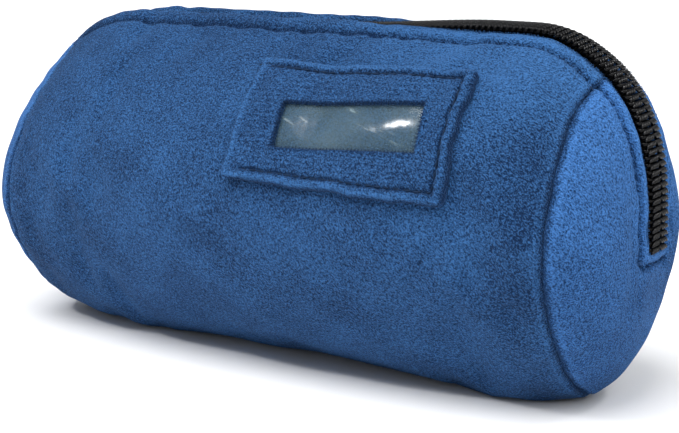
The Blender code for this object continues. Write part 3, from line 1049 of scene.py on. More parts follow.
class Along(Wiring):
    """A tree that sets one shape along a guide line, in even steps."""

    def __init__(self, name: str) -> None:
        """Makes the tree with its inputs and outputs.

        Args:
            name: the tree's name.
        """
        super().__init__(bpy.data.node_groups.new(name, "GeometryNodeTree"))
        self.keys: dict[str, str] = {}
        self.tree.interface.new_socket("Guide", in_out="INPUT", socket_type="NodeSocketGeometry")
        self.tree.interface.new_socket("Pieces", in_out="OUTPUT", socket_type="NodeSocketGeometry")
        for label, kind in (
            ("Pitch", "Float"), ("Size", "Vector"), ("Slant", "Float"), ("Jitter", "Float"),
            ("Seed", "Int"), ("Shape", "Object"), ("Finish", "Material"),
        ):
            made = self.tree.interface.new_socket(label, in_out="INPUT", socket_type=f"NodeSocket{kind}")
            self.keys[label] = made.identifier
        self.inputs = self.node("NodeGroupInput").outputs
        self._build()

    def _build(self) -> None:
        """Wires the tree: resample the guide, set the shape on it, turn each one, realise them."""
        curve = self.node("GeometryNodeMeshToCurve", {}, {0: self.inputs["Guide"]})
        even = self.node(
            "GeometryNodeResampleCurve", {"mode": "LENGTH"},
            {"Curve": curve.outputs[0], "Length": self.inputs["Pitch"]},
        )
        tangent = self.node("GeometryNodeInputTangent")
        up = self.node("GeometryNodeInputNamedAttribute", {"data_type": "FLOAT_VECTOR"}, {"Name": "up"})
        first = self.node("FunctionNodeAlignRotationToVector", {"axis": "X"}, {"Vector": tangent.outputs[0]})
        second = self.node(
            "FunctionNodeAlignRotationToVector", {"axis": "Z", "pivot_axis": "X"},
            {"Rotation": first.outputs[0], "Vector": up.outputs[0]},
        )
        jitter = self.node("ShaderNodeMath", {"operation": "MULTIPLY"}, {0: self.inputs["Jitter"], 1: -1.0})
        chance = self.node(
            "FunctionNodeRandomValue", {"data_type": "FLOAT"},
            {2: jitter.outputs[0], 3: self.inputs["Jitter"], "Seed": self.inputs["Seed"]},
        )
        yaw = self.node(
            "ShaderNodeMath", {"operation": "ADD"}, {0: self.inputs["Slant"], 1: chance.outputs[1]}
        )
        turn = self.node("ShaderNodeCombineXYZ", {}, {2: yaw.outputs[0]})
        spin = self.node("FunctionNodeEulerToRotation", {}, {0: turn.outputs[0]})
        facing = self.node(
            "FunctionNodeRotateRotation", {"rotation_space": "LOCAL"},
            {0: second.outputs[0], 1: spin.outputs[0]},
        )
        shape = self.node("GeometryNodeObjectInfo", {}, {"Object": self.inputs["Shape"]})
        placed = self.node(
            "GeometryNodeInstanceOnPoints", {},
            {
                "Points": even.outputs[0], "Instance": shape.outputs["Geometry"],
                "Rotation": facing.outputs[0], "Scale": self.inputs["Size"],
            },
        )
        real = self.node("GeometryNodeRealizeInstances", {}, {0: placed.outputs[0]})
        done = self.node(
            "GeometryNodeSetMaterial", {}, {"Geometry": real.outputs[0], "Material": self.inputs["Finish"]}
        )
        self.node("NodeGroupOutput", {}, {0: done.outputs[0]})

    def lay(self, name: str, guides: list[tuple[Array, Array]], shape: bpy.types.Object, pitch: float,
            finish: bpy.types.Material, size: Colour = (1, 1, 1), slant: float = 0.0,
            jitter: float = 0.0, seed: int = 1) -> bpy.types.Object:
        """Sets a shape along guide lines and turns the result into a plain mesh.

        Args:
            name: the piece's name.
            guides: lines with the outward direction at each of their points.
            shape: the object that is repeated.
            pitch: the spacing.
            finish: its material.
            size: scale of each one.
            slant: turn about the outward direction.
            jitter: most that the turn varies.
            seed: of the jitter.

        Returns:
            The new piece.
        """
        points, edges, ups = [], [], []
        for line, up in guides:
            start = len(points)
            points += line.tolist()
            ups += up.tolist()
            edges += [(start + i, start + i + 1) for i in range(len(line) - 1)]
        mesh = bpy.data.meshes.new(f"{name}_guide")
        mesh.from_pydata(points, edges, [])
        mesh.attributes.new("up", "FLOAT_VECTOR", "POINT").data.foreach_set("vector", np.ravel(ups))
        guide = linked(f"{name}_guide", mesh)
        modifier = guide.modifiers.new("along", "NODES")
        modifier.node_group = self.tree
        values = {
            "Pitch": pitch, "Size": size, "Slant": slant, "Jitter": jitter, "Seed": seed,
            "Shape": shape, "Finish": finish,
        }
        for label, value in values.items():
            modifier[self.keys[label]] = value
        evaluated = guide.evaluated_get(bpy.context.evaluated_depsgraph_get())
        made = linked(name, bpy.data.meshes.new_from_object(evaluated))
        made.data.name = name
        made.data.polygons.foreach_set("use_smooth", [True] * len(made.data.polygons))
        bpy.data.objects.remove(guide)
        bpy.data.meshes.remove(mesh)
        return made


def bare_shape(name: str, points: Array, faces: list) -> bpy.types.Object:
    """Makes a bare shape, such as one that a tree repeats and drop_shape then removes.

    Args:
        name: its name.
        points: its points.
        faces: its faces, as point numbers.

    Returns:
        The new object.
    """
    mesh = bpy.data.meshes.new(name)
    mesh.from_pydata(np.asarray(points).tolist(), [], faces)
    mesh.update()
    return linked(name, mesh)


def drop_shape(shape: bpy.types.Object) -> None:
    """Removes a shape once the trees that repeat it are done."""
    mesh = shape.data
    bpy.data.objects.remove(shape)
    bpy.data.meshes.remove(mesh)


def tube(line: Array, radius: Array | float, sides: int = 5, flat: float = 1.0) -> tuple[Array, list]:
    """A closed tube round a line.

    Args:
        line: its centre line.
        radius: its radius, or one for each point.
        sides: faces round it.
        flat: how much thinner it is along its second direction.

    Returns:
        Its points and faces.
    """
    line = np.asarray(line, float)
    radius = np.broadcast_to(radius, (len(line),))
    way = np.gradient(line, axis=0)
    way /= np.linalg.norm(way, axis=1, keepdims=True)
    side = np.cross(way[0], (0.31, 0.17, 0.93))
    points = []
    for i in range(len(line)):
        side = side - way[i] * side.dot(way[i])
        side /= np.linalg.norm(side)
        other = np.cross(way[i], side)
        for k in range(sides):
            turn = 2 * math.pi * k / sides
            points.append(line[i] + radius[i] * (math.cos(turn) * side + flat * math.sin(turn) * other))
    faces = []
    for i in range(len(line) - 1):
        for k in range(sides):
            n = (k + 1) % sides
            faces.append((i * sides + k, i * sides + n, (i + 1) * sides + n, (i + 1) * sides + k))
    faces.append(tuple(range(sides))[::-1])
    faces.append(tuple(range((len(line) - 1) * sides, len(line) * sides)))
    return np.array(points), faces


def stitch_shape() -> bpy.types.Object:
    """Makes a plump thread stitch, one long along X.

    Returns:
        The shape.
    """
    places = np.array([-0.5, -0.42, -0.2, 0.2, 0.42, 0.5])
    thick = np.array([0.12, 0.36, 0.5, 0.5, 0.36, 0.12])
    line = np.stack([places, 0 * places, -0.9 * (2 * places) ** 4 * 0.5], axis=-1)
    points, faces = tube(line, thick, 6)
    return bare_shape("stitch_shape", points, faces)


# ---------------------------------------------------------------- the case's pieces


def settle(piece: bpy.types.Object, body: str, slot: str, *nodes: str) -> None:
    """Rides a piece on one body.

    Args:
        piece: the piece.
        body: the body that it moves with.
        slot: the record's material slot; not used.
        nodes: the CAD nodes that it stands for.
    """
    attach(piece, body)
    if nodes:
        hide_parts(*nodes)
    log.info("%s: %d faces", piece.name, len(piece.data.polygons))


def bend(piece: bpy.types.Object, flank: Flank, fold: tuple[float, float], slot: str, *nodes: str) -> None:
    """Bakes a piece's placement into its mesh and hides the CAD nodes that it stands for.

    Args:
        piece: the piece.
        flank: its half of the case; not used.
        fold: the heights between which it bends; not used.
        slot: the record's material slot; not used.
        nodes: the CAD nodes that it stands for.
    """
    if nodes:
        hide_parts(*nodes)
    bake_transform(piece)
    log.info("%s: %d faces", piece.name, len(piece.data.polygons))


@dataclass(frozen=True)
class Finishes:
    """The case's materials, made once."""

    velour: bpy.types.Material
    end_velour: bpy.types.Material
    label: bpy.types.Material
    lining: bpy.types.Material
    padding: bpy.types.Material
    tape: bpy.types.Material
    coil: bpy.types.Material
    metal: bpy.types.Material
    vinyl: bpy.types.Material
    thread: bpy.types.Material
    zip_thread: bpy.types.Material

    @classmethod
    def made(cls) -> "Finishes":
        """Makes every finish.

        Returns:
            The finishes.
        """
        return cls(
            velour=Velour().material(),
            # A lighter, more saturated copy of the velour for the end panels: partly painted light, for the
            # ends catching more light, and partly their nap laid the other way.
            end_velour=Velour(
                "velour_ends", deep=(0.006, 0.033, 0.110), lit=(0.064, 0.215, 0.575)
            ).material(),
            label=Velour("label_velour", ribs=0.25).material(),
            lining=Satin().material(),
            padding=Foam().material(),
            tape=TapeWeave().material(),
            coil=Nylon().material(),
            metal=Enamel().material(),
            vinyl=Vinyl().material(),
            thread=Nylon(
                "topstitch", (0.004, 0.014, 0.040), (0.012, 0.040, 0.100),
                gloss=0.55, shine=0.15, grain=2600.0,
            ).material(),
            zip_thread=Nylon(
                "zip_stitch", (0.0010, 0.0010, 0.0014), (0.009, 0.009, 0.011), gloss=0.08, shine=0.30
            ).material(),
        )


@dataclass(frozen=True)
class Relief:
    """The heights that sewing gives a padded panel, and the painted light and shade that its finish reads."""

    seam_roll: float = 1.6 * MM
    hem_roll: float = 0.9 * MM
    stitch_in: float = 4.8 * MM
    groove: float = 1.1 * MM
    groove_width: float = 0.75 * MM
    puff: float = 0.65 * MM
    stand: float = 1.15 * MM
    stand_right: tuple[float, float] = (58 * MM, 8 * MM)
    stand_left: tuple[float, float] = (-86 * MM, -70 * MM)
    pitch: float = 3.1 * MM
    settle: float = 1.2 * MM
    settle_reach: float = 7.0 * MM
    ridge: float = 0.35 * MM
    seam_shade: float = 0.30
    top_shine: tuple[float, float, float] = (0.75, 64 * MM, 86 * MM)
    shine_from: tuple[float, float] = (10 * MM, 75 * MM)

    def crease(self, seam: tuple[Array, Array], hem: tuple[Array, Array]) -> Array:
        """How much painted shade each point takes in the sewing: along the stitch line and on the seam.

        Args:
            seam: distance from the seam, and the place along it.
            hem: distance from the hem's edge, and the place along it.

        Returns:
            Amounts of painted shade, from 0 to 1.
        """
        inward, along = hem
        dash = 0.75 + 0.25 * np.cos(2 * math.pi * along / self.pitch)
        line = 1.15 * dash * hill(inward, self.stitch_in, 0.6 * MM)
        return np.clip(line + hill(seam[0], 0.0, 1.0 * MM), 0, 1)

    def brushed(self, points: Array, seam: tuple[Array, Array], hem: tuple[Array, Array]) -> Array:
        """Painted light and shade at each point, with some random nap tone.

        Args:
            points: the panel's points.
            seam: distance from the seam, and the place along it.
            hem: distance from the hem's edge, and the place along it.

        Returns:
            Amounts, above 0 for painted light and below 0 for painted shade.
        """
        # painted light: lighter towards the top, from the given station on
        power, low, high = self.top_shine
        total = power * smooth_step(points[..., 2], low, high) * smooth_step(points[..., 0], *self.shine_from)
        # painted highlight on the hem band, lighter on the right, and painted shade on its left part
        towards = 0.65 * smooth_step(points[..., 0], -30 * MM, 50 * MM) - 0.20
        total += towards * hill(hem[0] - self.stitch_in, -2.0 * MM, 1.5 * MM)
        # painted highlight on the ridge beside the seam, then painted shade in the band beside the seam
        total += 0.30 * hill(seam[0], 2.1 * MM, 0.7 * MM)
        total -= self.seam_shade * hill(seam[0], 7 * MM, 6 * MM)
        # random nap tone
        return total + 0.14 * Ripples(31, 12 * MM, 34 * MM, 10).at(points)

    def rolled(self, away: Array, radius: float) -> Array:
        """How far an edge of this radius has rolled down, by distance from it."""
        inside = np.clip(radius - away, 0, radius)
        return radius - np.sqrt(radius**2 - inside**2)

    def height(self, points: Array, seam: tuple[Array, Array], hem: tuple[Array, Array]) -> Array:
        """The height at each point.

        Args:
            points: the panel's points.
            seam: distance from the seam, and the place along it.
            hem: distance from the hem's edge, and the place along it.

        Returns:
            Heights along the normal.
        """
        away, place = seam
        inward, along = hem
        inward = inward + 0.22 * MM * Ripples(5, 14 * MM, 40 * MM).at(along) * np.exp(-inward / (6 * MM))
        inward = np.clip(inward, 0, None)
        band = np.clip(inward / self.stitch_in, 0, 1)
        total = self.puff * np.sin(math.pi * band) ** 0.8
        x = points[..., 0]
        raised = smooth_step(x, *self.stand_right) * smooth_step(x, *self.stand_left)
        total += self.stand * raised * hill(inward, 0.0, 5.5 * MM)
        dash = 0.72 + 0.28 * np.cos(2 * math.pi * along / self.pitch)
        total -= self.groove * dash * hill(inward, self.stitch_in, self.groove_width)
        total += 0.22 * MM * hill(inward - self.stitch_in, 2.4 * MM, 1.5 * MM)
        total += 0.09 * MM * Ripples(8, 6 * MM, 16 * MM).at(along) * hill(inward, 0.0, 7 * MM)
        open_seam = 0.25 + 0.75 * smooth_step(inward, 1 * MM, 8 * MM)
        total -= self.settle * open_seam * np.exp(-away / self.settle_reach)
        total += self.ridge * open_seam * hill(away, 1.9 * MM, 1.1 * MM)
        total += 0.30 * MM * open_seam * Ripples(11, 8 * MM, 26 * MM).at(place) * np.exp(-away / (6 * MM))
        free = 1 - np.exp(-np.minimum(away, inward) / (10 * MM))
        total += 0.45 * MM * free * Ripples(21, 26 * MM, 70 * MM, 12).at(points)
        total += 0.05 * MM * free * Ripples(22, 5 * MM, 11 * MM, 14).at(points)
        total -= self.rolled(away, self.seam_roll) * open_seam + self.rolled(inward, self.hem_roll)
        return total


@dataclass
class Skin:
    """The velour panels: the body in two halves and each end in two, split where the case folds."""

    form: Form
    finishes: Finishes
    relief: Relief = Relief()
    end_relief: Relief = Relief(
        stitch_in=3.7 * MM, groove=1.5 * MM, puff=0.8 * MM, settle=0.8 * MM, settle_reach=4.0 * MM,
        ridge=0.0, seam_shade=0.15, top_shine=(0.75, 34 * MM, 78 * MM), shine_from=(-1.0, 0.0),
    )
    stuffing: Stuffing = Stuffing()
    cloth: float = 1.05 * MM
    wall: float = 2.2 * MM
    step: float = 1.2 * MM
    end_step: float = 0.9 * MM
    coarse: float = 4.5 * MM
    body_span: tuple[float, float] = (176 * MM, 118 * MM)
    end_span: tuple[float, float] = (50 * MM, 50 * MM)

    def build(self) -> None:
        """Makes every panel."""
        for flank in Flank:
            hem = self.form.mouth_line(flank, self.form.mouth, 0.0, self.form.foot)
            columns = stations(2 * self.form.half_length, self.step)
            rows = stations(self.body_span[1], self.step, end=False)

            def body(across: Array, down: Array) -> Array:
                """This flank's body patch at the outer face."""
                return self.form.body_patch(flank, across, down, 0.0, self.form.mouth)

            seams = np.concatenate([self.form.seam_line(end, flank, 0.0) for end in End])
            piece = self.panel(
                f"outer_body_{flank.word}", body, columns, rows, self.body_span, seams, hem,
                (True, True, True, False), self.relief, self.finishes.velour,
            )
            self.hang(piece, flank, "outer_body_panel")
            for end in End:
                self.end_half(end, flank, hem)

    def end_half(self, end: End, flank: Flank, hem: Array) -> None:
        """Makes half of one end panel.

        Args:
            end: which end.
            flank: which half of it.
            hem: the mouth's edge on this flank.
        """
        foot = self.form.on_end(
            end, flank.value * np.linspace(0, self.form.mouth, 12), np.full(12, self.form.foot), 0.0
        )
        edge = np.concatenate([hem, foot]) if end is End.RIGHT else np.concatenate([foot, hem])

        def half(across: Array, up: Array) -> Array:
            """This half's patch at the outer face."""
            return self.form.end_patch(end, flank, across, up, 0.0, self.form.mouth, self.form.foot)

        piece = self.panel(
            f"outer_end_{end.name.lower()}_{flank.word}", half,
            stations(self.end_span[0], self.end_step, start=False), stations(self.end_span[1], self.end_step),
            self.end_span, self.form.seam_line(end, flank, 0.0), edge, (False, True, True, True),
            self.end_relief, self.finishes.end_velour,
        )
        self.hang(piece, flank, f"outer_end_panel_{end.name.lower()}")

    def panel(self, name: str, patch: object, columns: Array, rows: Array, span: tuple[float, float],
              seam: Array, hem: Array, walls: tuple[bool, bool, bool, bool],
              relief: Relief, finish: bpy.types.Material) -> bpy.types.Object:
        """Makes one sewn panel.

        Args:
            name: the piece's name.
            patch: gives the panel's smooth points at columns and rows.
            columns: the fine grid's columns.
            rows: the fine grid's rows.
            span: the panel's rough width and height.
            seam: its seams' points.
            hem: its hem's edge.
            walls: whether the first and last column, and the first and last row, turn in.
            relief: the heights that its sewing gives.
            finish: its material.

        Returns:
            The closed shell.
        """
        smooth = patch(columns, rows)
        outward = grid_normals(smooth)
        centre = np.array([0.0, 0.0, self.form.top * 0.45])
        if ((smooth - centre) * outward).sum() < 0:
            outward = -outward
        wide, tall = (max(8, round(s / self.coarse)) for s in span)
        blank = patch(np.linspace(0, 1, wide), np.linspace(0, 1, tall))
        turn = slice(None, None, -1 if ((blank - centre) * grid_normals(blank)).sum() < 0 else 1)
        swell = self.stuffing.swell(blank[:, turn])[:, turn]
        swell = spline_weights(columns, wide) @ swell @ spline_weights(rows, tall).T
        by_seam, by_hem = nearest(smooth, seam), nearest(smooth, hem)
        height = relief.height(smooth, by_seam, by_hem) + swell
        raised = smooth + outward * height[..., None]
        raised, outward = self.turned_in(raised, outward, walls)
        raised[..., 2] = np.maximum(raised[..., 2], 0.15 * MM)
        under = raised - grid_normals_towards(raised, outward) * self.cloth
        under[..., 2] = np.maximum(under[..., 2], 0.25 * MM)
        piece = shell_piece(name, raised, under, finish)
        more = [(2 * walls[0], 2 * walls[1]), (2 * walls[2], 2 * walls[3])]
        # Kept for the finish: painted shade in the sewing, and painted light and shade with some random nap
        # tone.
        mark(piece, "crease", np.pad(relief.crease(by_seam, by_hem), more, "edge"))
        mark(piece, "brushed", np.pad(relief.brushed(smooth, by_seam, by_hem), more, "edge"))
        return piece

    def turned_in(self, grid: Array, outward: Array,
                  walls: tuple[bool, bool, bool, bool]) -> tuple[Array, Array]:
        """Adds the cloth that turns in at the seams and the hem.

        Args:
            grid: the panel's points.
            outward: its normals.
            walls: whether the first and last column, and the first and last row, turn in.

        Returns:
            The grown grid, and its normals.
        """
        for (axis, first), wanted in zip(((0, True), (0, False), (1, True), (1, False)), walls):
            if not wanted:
                continue
            edge = np.take(grid, [0 if first else -1], axis=axis)
            normal = np.take(outward, [0 if first else -1], axis=axis)
            down = [edge - normal * self.wall * share for share in (0.5, 1.0)]
            if first:
                grid = np.concatenate([down[1], down[0], grid], axis=axis)
                outward = np.concatenate([normal, normal, outward], axis=axis)
            else:
                grid = np.concatenate([grid, down[0], down[1]], axis=axis)
                outward = np.concatenate([outward, normal, normal], axis=axis)
        return grid, outward

    def hang(self, piece: bpy.types.Object, flank: Flank, node: str) -> None:
        """Hands a panel to bend, which bakes its placement and hides its CAD node."""
        bend(piece, flank, self.form.fold, "velour", node)


def grid_normals_towards(grid: Array, outward: Array) -> Array:
    """A grid's normals, turned to the outward side.

    Args:
        grid: points, columns by rows.
        outward: rough outward directions at them.

    Returns:
        A unit normal at each point.
    """
    found = grid_normals(grid)
    facing = np.sign((found * outward).sum(axis=-1, keepdims=True).mean())
    return found * (facing or 1.0)


@dataclass
class Inside:
    """The foam behind the velour and the lining inside it."""

    form: Form
    finishes: Finishes
    foam_inset: float = 2.7 * MM
    foam_thick: float = 2.6 * MM
    foam_edge: float = 10.3 * MM
    lining_inset: float = 5.6 * MM
    lining_thick: float = 0.6 * MM
    lining_edge: float = 8.0 * MM

    def build(self) -> None:
        """Makes the foam and the lining of both flanks and both ends."""
        for flank in Flank:
            self.layer("padding", flank, self.foam_inset, self.foam_thick, self.foam_edge)
            self.layer("lining", flank, self.lining_inset, self.lining_thick, self.lining_edge)

    def layer(self, slot: str, flank: Flank, inset: float, thick: float, edge: float) -> None:
        """Makes one layer of one flank: its body half and its two end halves.

        Args:
            slot: the layer's material slot, padding or lining.
            flank: which flank.
            inset: depth of its outer face.
            thick: its thickness.
            edge: half width of the mouth at it.
        """
        foam = slot == "padding"
        gap = 0.03 if foam else 0.004
        layers = (inset, inset + thick)
        columns, rows = np.linspace(gap, 1 - gap, 90), np.linspace(0, 1, 60)
        bodies = ("padding_base", f"padding_{flank.word}") if foam else ("lining_body",)
        grids = {"body": [self.form.body_patch(flank, columns, rows, depth, edge) for depth in layers]}
        nodes = {"body": bodies}
        foot = self.form.foot - 1.2 * MM
        for end in End:
            word = end.name.lower()
            across, up = np.linspace(0, 1 - 3 * gap, 40), np.linspace(3 * gap, 1, 40)
            grids[f"end_{word}"] = [
                self.form.end_patch(end, flank, across, up, depth, edge, foot) for depth in layers
            ]
            nodes[f"end_{word}"] = (
                (f"padding_end_{word}_base", f"padding_end_{word}_{flank.word}") if foam
                else (f"lining_end_{word}",)
            )
        for part, (outer, inner) in grids.items():
            uneven = 0.18 * MM * Ripples(31, 12 * MM, 40 * MM).at(outer)[..., None]
            normal = grid_normals_towards(outer, outer - np.array([0, 0, self.form.top * 0.45]))
            outer, inner = outer - normal * abs(uneven), inner - normal * abs(uneven)
            name = f"{'foam' if foam else 'lining'}_{part}_{flank.word}"
            piece = shell_piece(name, outer, inner, self.finishes.padding if foam else self.finishes.lining)
            bend(piece, flank, self.form.fold, slot, *nodes[part])
            if foam:
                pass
            else:
                self.declare(inner)

    def declare(self, grid: Array) -> None:
        """Works out the steps across and down a lining's inner face, and keeps nothing.

        Args:
            grid: its inner face's points.
        """
        across, down = grid[1:, :-1] - grid[:-1, :-1], grid[:-1, 1:] - grid[:-1, :-1]


@dataclass
class Zip:
    """The zip: two tapes and two coils over the mouth, with their sewing."""

    form: Form
    finishes: Finishes
    along: Along
    pitch: float = 1.75 * MM
    filament: float = 0.50 * MM
    half: float = 4.5 * MM
    tape_inset: float = 2.1 * MM
    tape_thick: float = 0.45 * MM
    tape_edge: float = 9.8 * MM
    rise: float = 0.55 * MM
    sink: float = 2.3 * MM
    sunk_right: tuple[float, float] = (58 * MM, 12 * MM)
    sunk_left: tuple[float, float] = (-94 * MM, -82 * MM)
    sewing_rows: tuple[float, ...] = (0.8 * MM, 1.85 * MM, 2.9 * MM, 3.95 * MM)
    sewing_sink: float = 0.22 * MM

    def build(self) -> None:
        """Makes both sides of the chain and its stops."""
        tooth = self.tooth()
        stitch = stitch_shape()
        for flank in Flank:
            self.tape(flank)
            self.coil(flank, tooth, stitch)
        drop_shape(tooth)
        drop_shape(stitch)
        for node, body in STOPS.items():
            self.stop(node, body)

    def stop(self, node: str, body: str) -> None:
        """Makes one stop, crimped over the chain's end.

        Args:
            node: the CAD node that it stands for.
            body: the body that it moves with.
        """
        low, high = (np.array(corner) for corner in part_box(node))
        middle, reach = (low + high) / 2, (high - low) / 2
        place = np.linspace(-1, 1, 15)
        line = middle + np.stack([0 * place, reach[1] * 0.96 * place, -0.5 * reach[2] * place**4], axis=-1)
        thick = reach[2] * (0.72 + 0.18 * np.cos(6 * math.pi * place)) * np.sqrt(1.05 - place**2)
        points, faces = tube(line, thick, 10, 1.15)
        piece = bare_shape(f"{node}_crimp", points, faces)
        piece.data.materials.append(self.finishes.coil)
        piece.data.polygons.foreach_set("use_smooth", [True] * len(piece.data.polygons))
        turn_out(piece)
        settle(piece, body, "zip_coil", node)

    def guide(self, flank: Flank, offset: float, inset: float, skip: float) -> tuple[Array, Array]:
        """A line along one side of the chain.

        Args:
            flank: which side.
            offset: distance from the middle.
            inset: depth below the outer face.
            skip: how much of its start is left off.

        Returns:
            The line, and the outward direction at each point.
        """
        line = self.form.mouth_line(flank, offset, inset, self.form.foot - 0.4 * MM, 900)
        far = lengths(line)[-1]
        line = resampled(line, np.linspace(skip, far - 0.5 * MM, 900))
        way = np.gradient(line, axis=0)
        up = np.cross(way, (0.0, 1.0, 0.0))
        up /= np.linalg.norm(up, axis=1, keepdims=True)
        if up[len(up) // 2, 2] < 0:
            up = -up
        x = line[:, 0]
        low = smooth_step(x, *self.sunk_right) * smooth_step(x, *self.sunk_left)
        return line - up * (self.sink * low)[:, None], up

    def tooth(self) -> bpy.types.Object:
        """Makes one turn of the coil, with X along the chain, Y away from its middle and Z out.

        Returns:
            The shape.
        """
        p, h = self.pitch, self.half
        line = np.array([
            (-0.30 * p, h - 0.10 * MM, -1.30 * MM),
            (-0.22 * p, h, -0.70 * MM),
            (-0.12 * p, h - 0.25 * MM, -0.12 * MM),
            (0.02 * p, 2.4 * MM, 0.04 * MM),
            (0.0, 0.55 * MM, 0.0),
            (0.0, -0.45 * MM, -0.45 * MM),
            (0.02 * p, -0.40 * MM, -1.15 * MM),
            (0.10 * p, 0.9 * MM, -1.60 * MM),
            (0.42 * p, h - 0.4 * MM, -1.55 * MM),
        ])
        thick = np.full(len(line), self.filament)
        thick[4:7] = self.filament * 1.22
        points, faces = tube(line, thick, 6)
        return bare_shape("coil_turn", points, faces)

    def coil(self, flank: Flank, tooth: bpy.types.Object, stitch: bpy.types.Object) -> None:
        """Sets the coil's turns and its sewing along one side.

        Args:
            flank: which side.
            tooth: one turn of the coil.
            stitch: one stitch.
        """
        skip = 1.0 * MM + (0.5 * self.pitch if flank is Flank.BACK else 0.0)
        line, up = self.guide(flank, 0.05 * MM, -self.rise + self.filament, skip)
        size = (1.0, -1.0, 1.0) if flank is Flank.FRONT else (1.0, 1.0, 1.0)
        turns = self.along.lay(f"zip_coil_turns_{flank.word}", [(line, up)], tooth, self.pitch,
                               self.finishes.coil, size)
        turn_out(turns)
        settle(turns, flank.body, "zip_coil", f"zip_coil_{flank.word}")
        rows = [self.guide(flank, offset, -self.rise - self.sewing_sink, skip + 0.5 * self.pitch)
                for offset in self.sewing_rows]
        sewing = self.along.lay(
            f"zip_sewing_{flank.word}", rows, stitch, self.pitch, self.finishes.zip_thread,
            (self.pitch * 0.92, 0.66 * MM, 0.90 * MM), slant=0.8 * flank.value, jitter=0.12, seed=3,
        )
        settle(sewing, flank.body, "zip_coil", f"zip_coil_{flank.word}")

    def tape(self, flank: Flank) -> None:
        """Makes one woven tape, from under the coil to under the hem.

        Args:
            flank: which side.
        """
        offsets = np.linspace(0.35 * MM, self.tape_edge, 12)
        outer, inner = [], []
        for offset in offsets:
            line, up = self.guide(flank, offset, self.tape_inset, 0.0)
            keep = np.linspace(0, len(line) - 1, 320).astype(int)
            outer.append(line[keep])
            inner.append(line[keep] - up[keep] * self.tape_thick)
        outer, inner = np.stack(outer, axis=1), np.stack(inner, axis=1)
        piece = shell_piece(f"zip_tape_cloth_{flank.word}", outer, inner, self.finishes.tape)
        settle(piece, flank.body, "zip_tape", f"zip_tape_{flank.word}")


def turn_out(piece: bpy.types.Object) -> None:
    """Turns a piece's faces outwards where a mirrored size turned them in.

    Args:
        piece: the piece.
    """
    mesh = piece.data
    mesh.calc_loop_triangles()
    points = np.array([v.co for v in mesh.vertices])
    faces = np.array([t.vertices for t in mesh.loop_triangles])
    a, b, c = (points[faces[:, i]] for i in range(3))
    if np.einsum("ij,ij->i", a - points.mean(axis=0), np.cross(b, c)).sum() < 0:
        mesh.flip_normals()


def hair_shape() -> bpy.types.Object:
    """Makes one bent hair of the pile, rooted under its place and standing along Z.

    Returns:
        The shape.
    """
    line = np.array([(0, 0, -0.5), (0.12, 0, 0.25), (0.42, 0, 0.72), (0.85, 0, 0.95)])
    points, faces = tube(line, np.array([0.15, 0.14, 0.11, 0.04]), 4)
    return bare_shape("hair_shape", points, faces)


@dataclass
class Pile:
    """Loose pile along the cut edges: the hems, the seams and the mouth's feet."""

    form: Form
    finishes: Finishes
    along: Along
    length: float = 0.65 * MM
    spacing: float = 0.40 * MM
    hem_rows: tuple[tuple[float, float], ...] = (
        (0.1 * MM, 0.9 * MM), (0.7 * MM, 0.2 * MM), (1.5 * MM, -0.5 * MM)
    )
    seam_rows: tuple[float, ...] = (1.6 * MM, 2.3 * MM)
    foot_rows: tuple[float, ...] = (0.0 * MM, 0.6 * MM, 1.3 * MM)

    def build(self) -> None:
        """Sets the hairs on each flank."""
        hair = hair_shape()
        axis = np.array([0.75, 0.0, 0.0])
        for flank in Flank:
            guides = []
            for offset, inset in self.hem_rows:
                line = self.form.mouth_line(
                    flank, self.form.mouth + offset, inset, self.form.foot + 1.5 * MM, 900
                )
                guides.append((line, line_up(line)))
            for end in End:
                for inset in self.seam_rows:
                    line = self.form.seam_line(end, flank, inset)
                    line = resampled(line, np.linspace(2 * MM, lengths(line)[-1] - 3 * MM, 400))
                    up = line - line * axis - np.array([0.0, 0.0, self.form.top * 0.42])
                    guides.append((line, up / np.linalg.norm(up, axis=1, keepdims=True)))
                for drop in self.foot_rows:
                    depth = flank.value * np.linspace(0, self.form.mouth, 40)
                    line = self.form.on_end(end, depth, np.full(40, self.form.foot - drop), 0.3 * MM)
                    guides.append((line, np.tile([0.8 * end.value, 0.0, 0.6], (40, 1))))
            piece = self.along.lay(
                f"loose_pile_{flank.word}", guides, hair, self.spacing, self.finishes.velour,
                (self.length,) * 3, jitter=math.pi, seed=12,
            )
            bend(piece, flank, self.form.fold, "velour")
        drop_shape(hair)


@dataclass
class Topstitching:
    """The visible sewing along the hem on both sides of the mouth."""

    form: Form
    finishes: Finishes
    along: Along
    relief: Relief = Relief()
    length: float = 2.3 * MM
    thick: float = 0.55 * MM

    def build(self) -> None:
        """Lays the hem's stitches on each flank."""
        shape = stitch_shape()
        size = (self.length, self.thick, self.thick)
        offset = self.form.mouth + self.relief.stitch_in
        sunk = self.relief.groove * 0.92
        for flank in Flank:
            line = self.form.mouth_line(flank, offset, sunk, self.form.foot + 9 * MM, 1200)
            up = line_up(line)
            piece = self.along.lay(f"hem_stitches_{flank.word}", [(line, up)], shape, self.relief.pitch,
                                   self.finishes.thread, size, jitter=0.06, seed=4)
            settle(piece, flank.body, "velour")
        drop_shape(shape)


def line_up(line: Array) -> Array:
    """Works out which way is out along the mouth.

    Args:
        line: a line along the mouth.

    Returns:
        The outward direction at each of its points.
    """
    up = np.cross(np.gradient(line, axis=0), (0.0, 1.0, 0.0))
    up /= np.linalg.norm(up, axis=1, keepdims=True)
    return up if up[len(up) // 2, 2] > 0 else -up


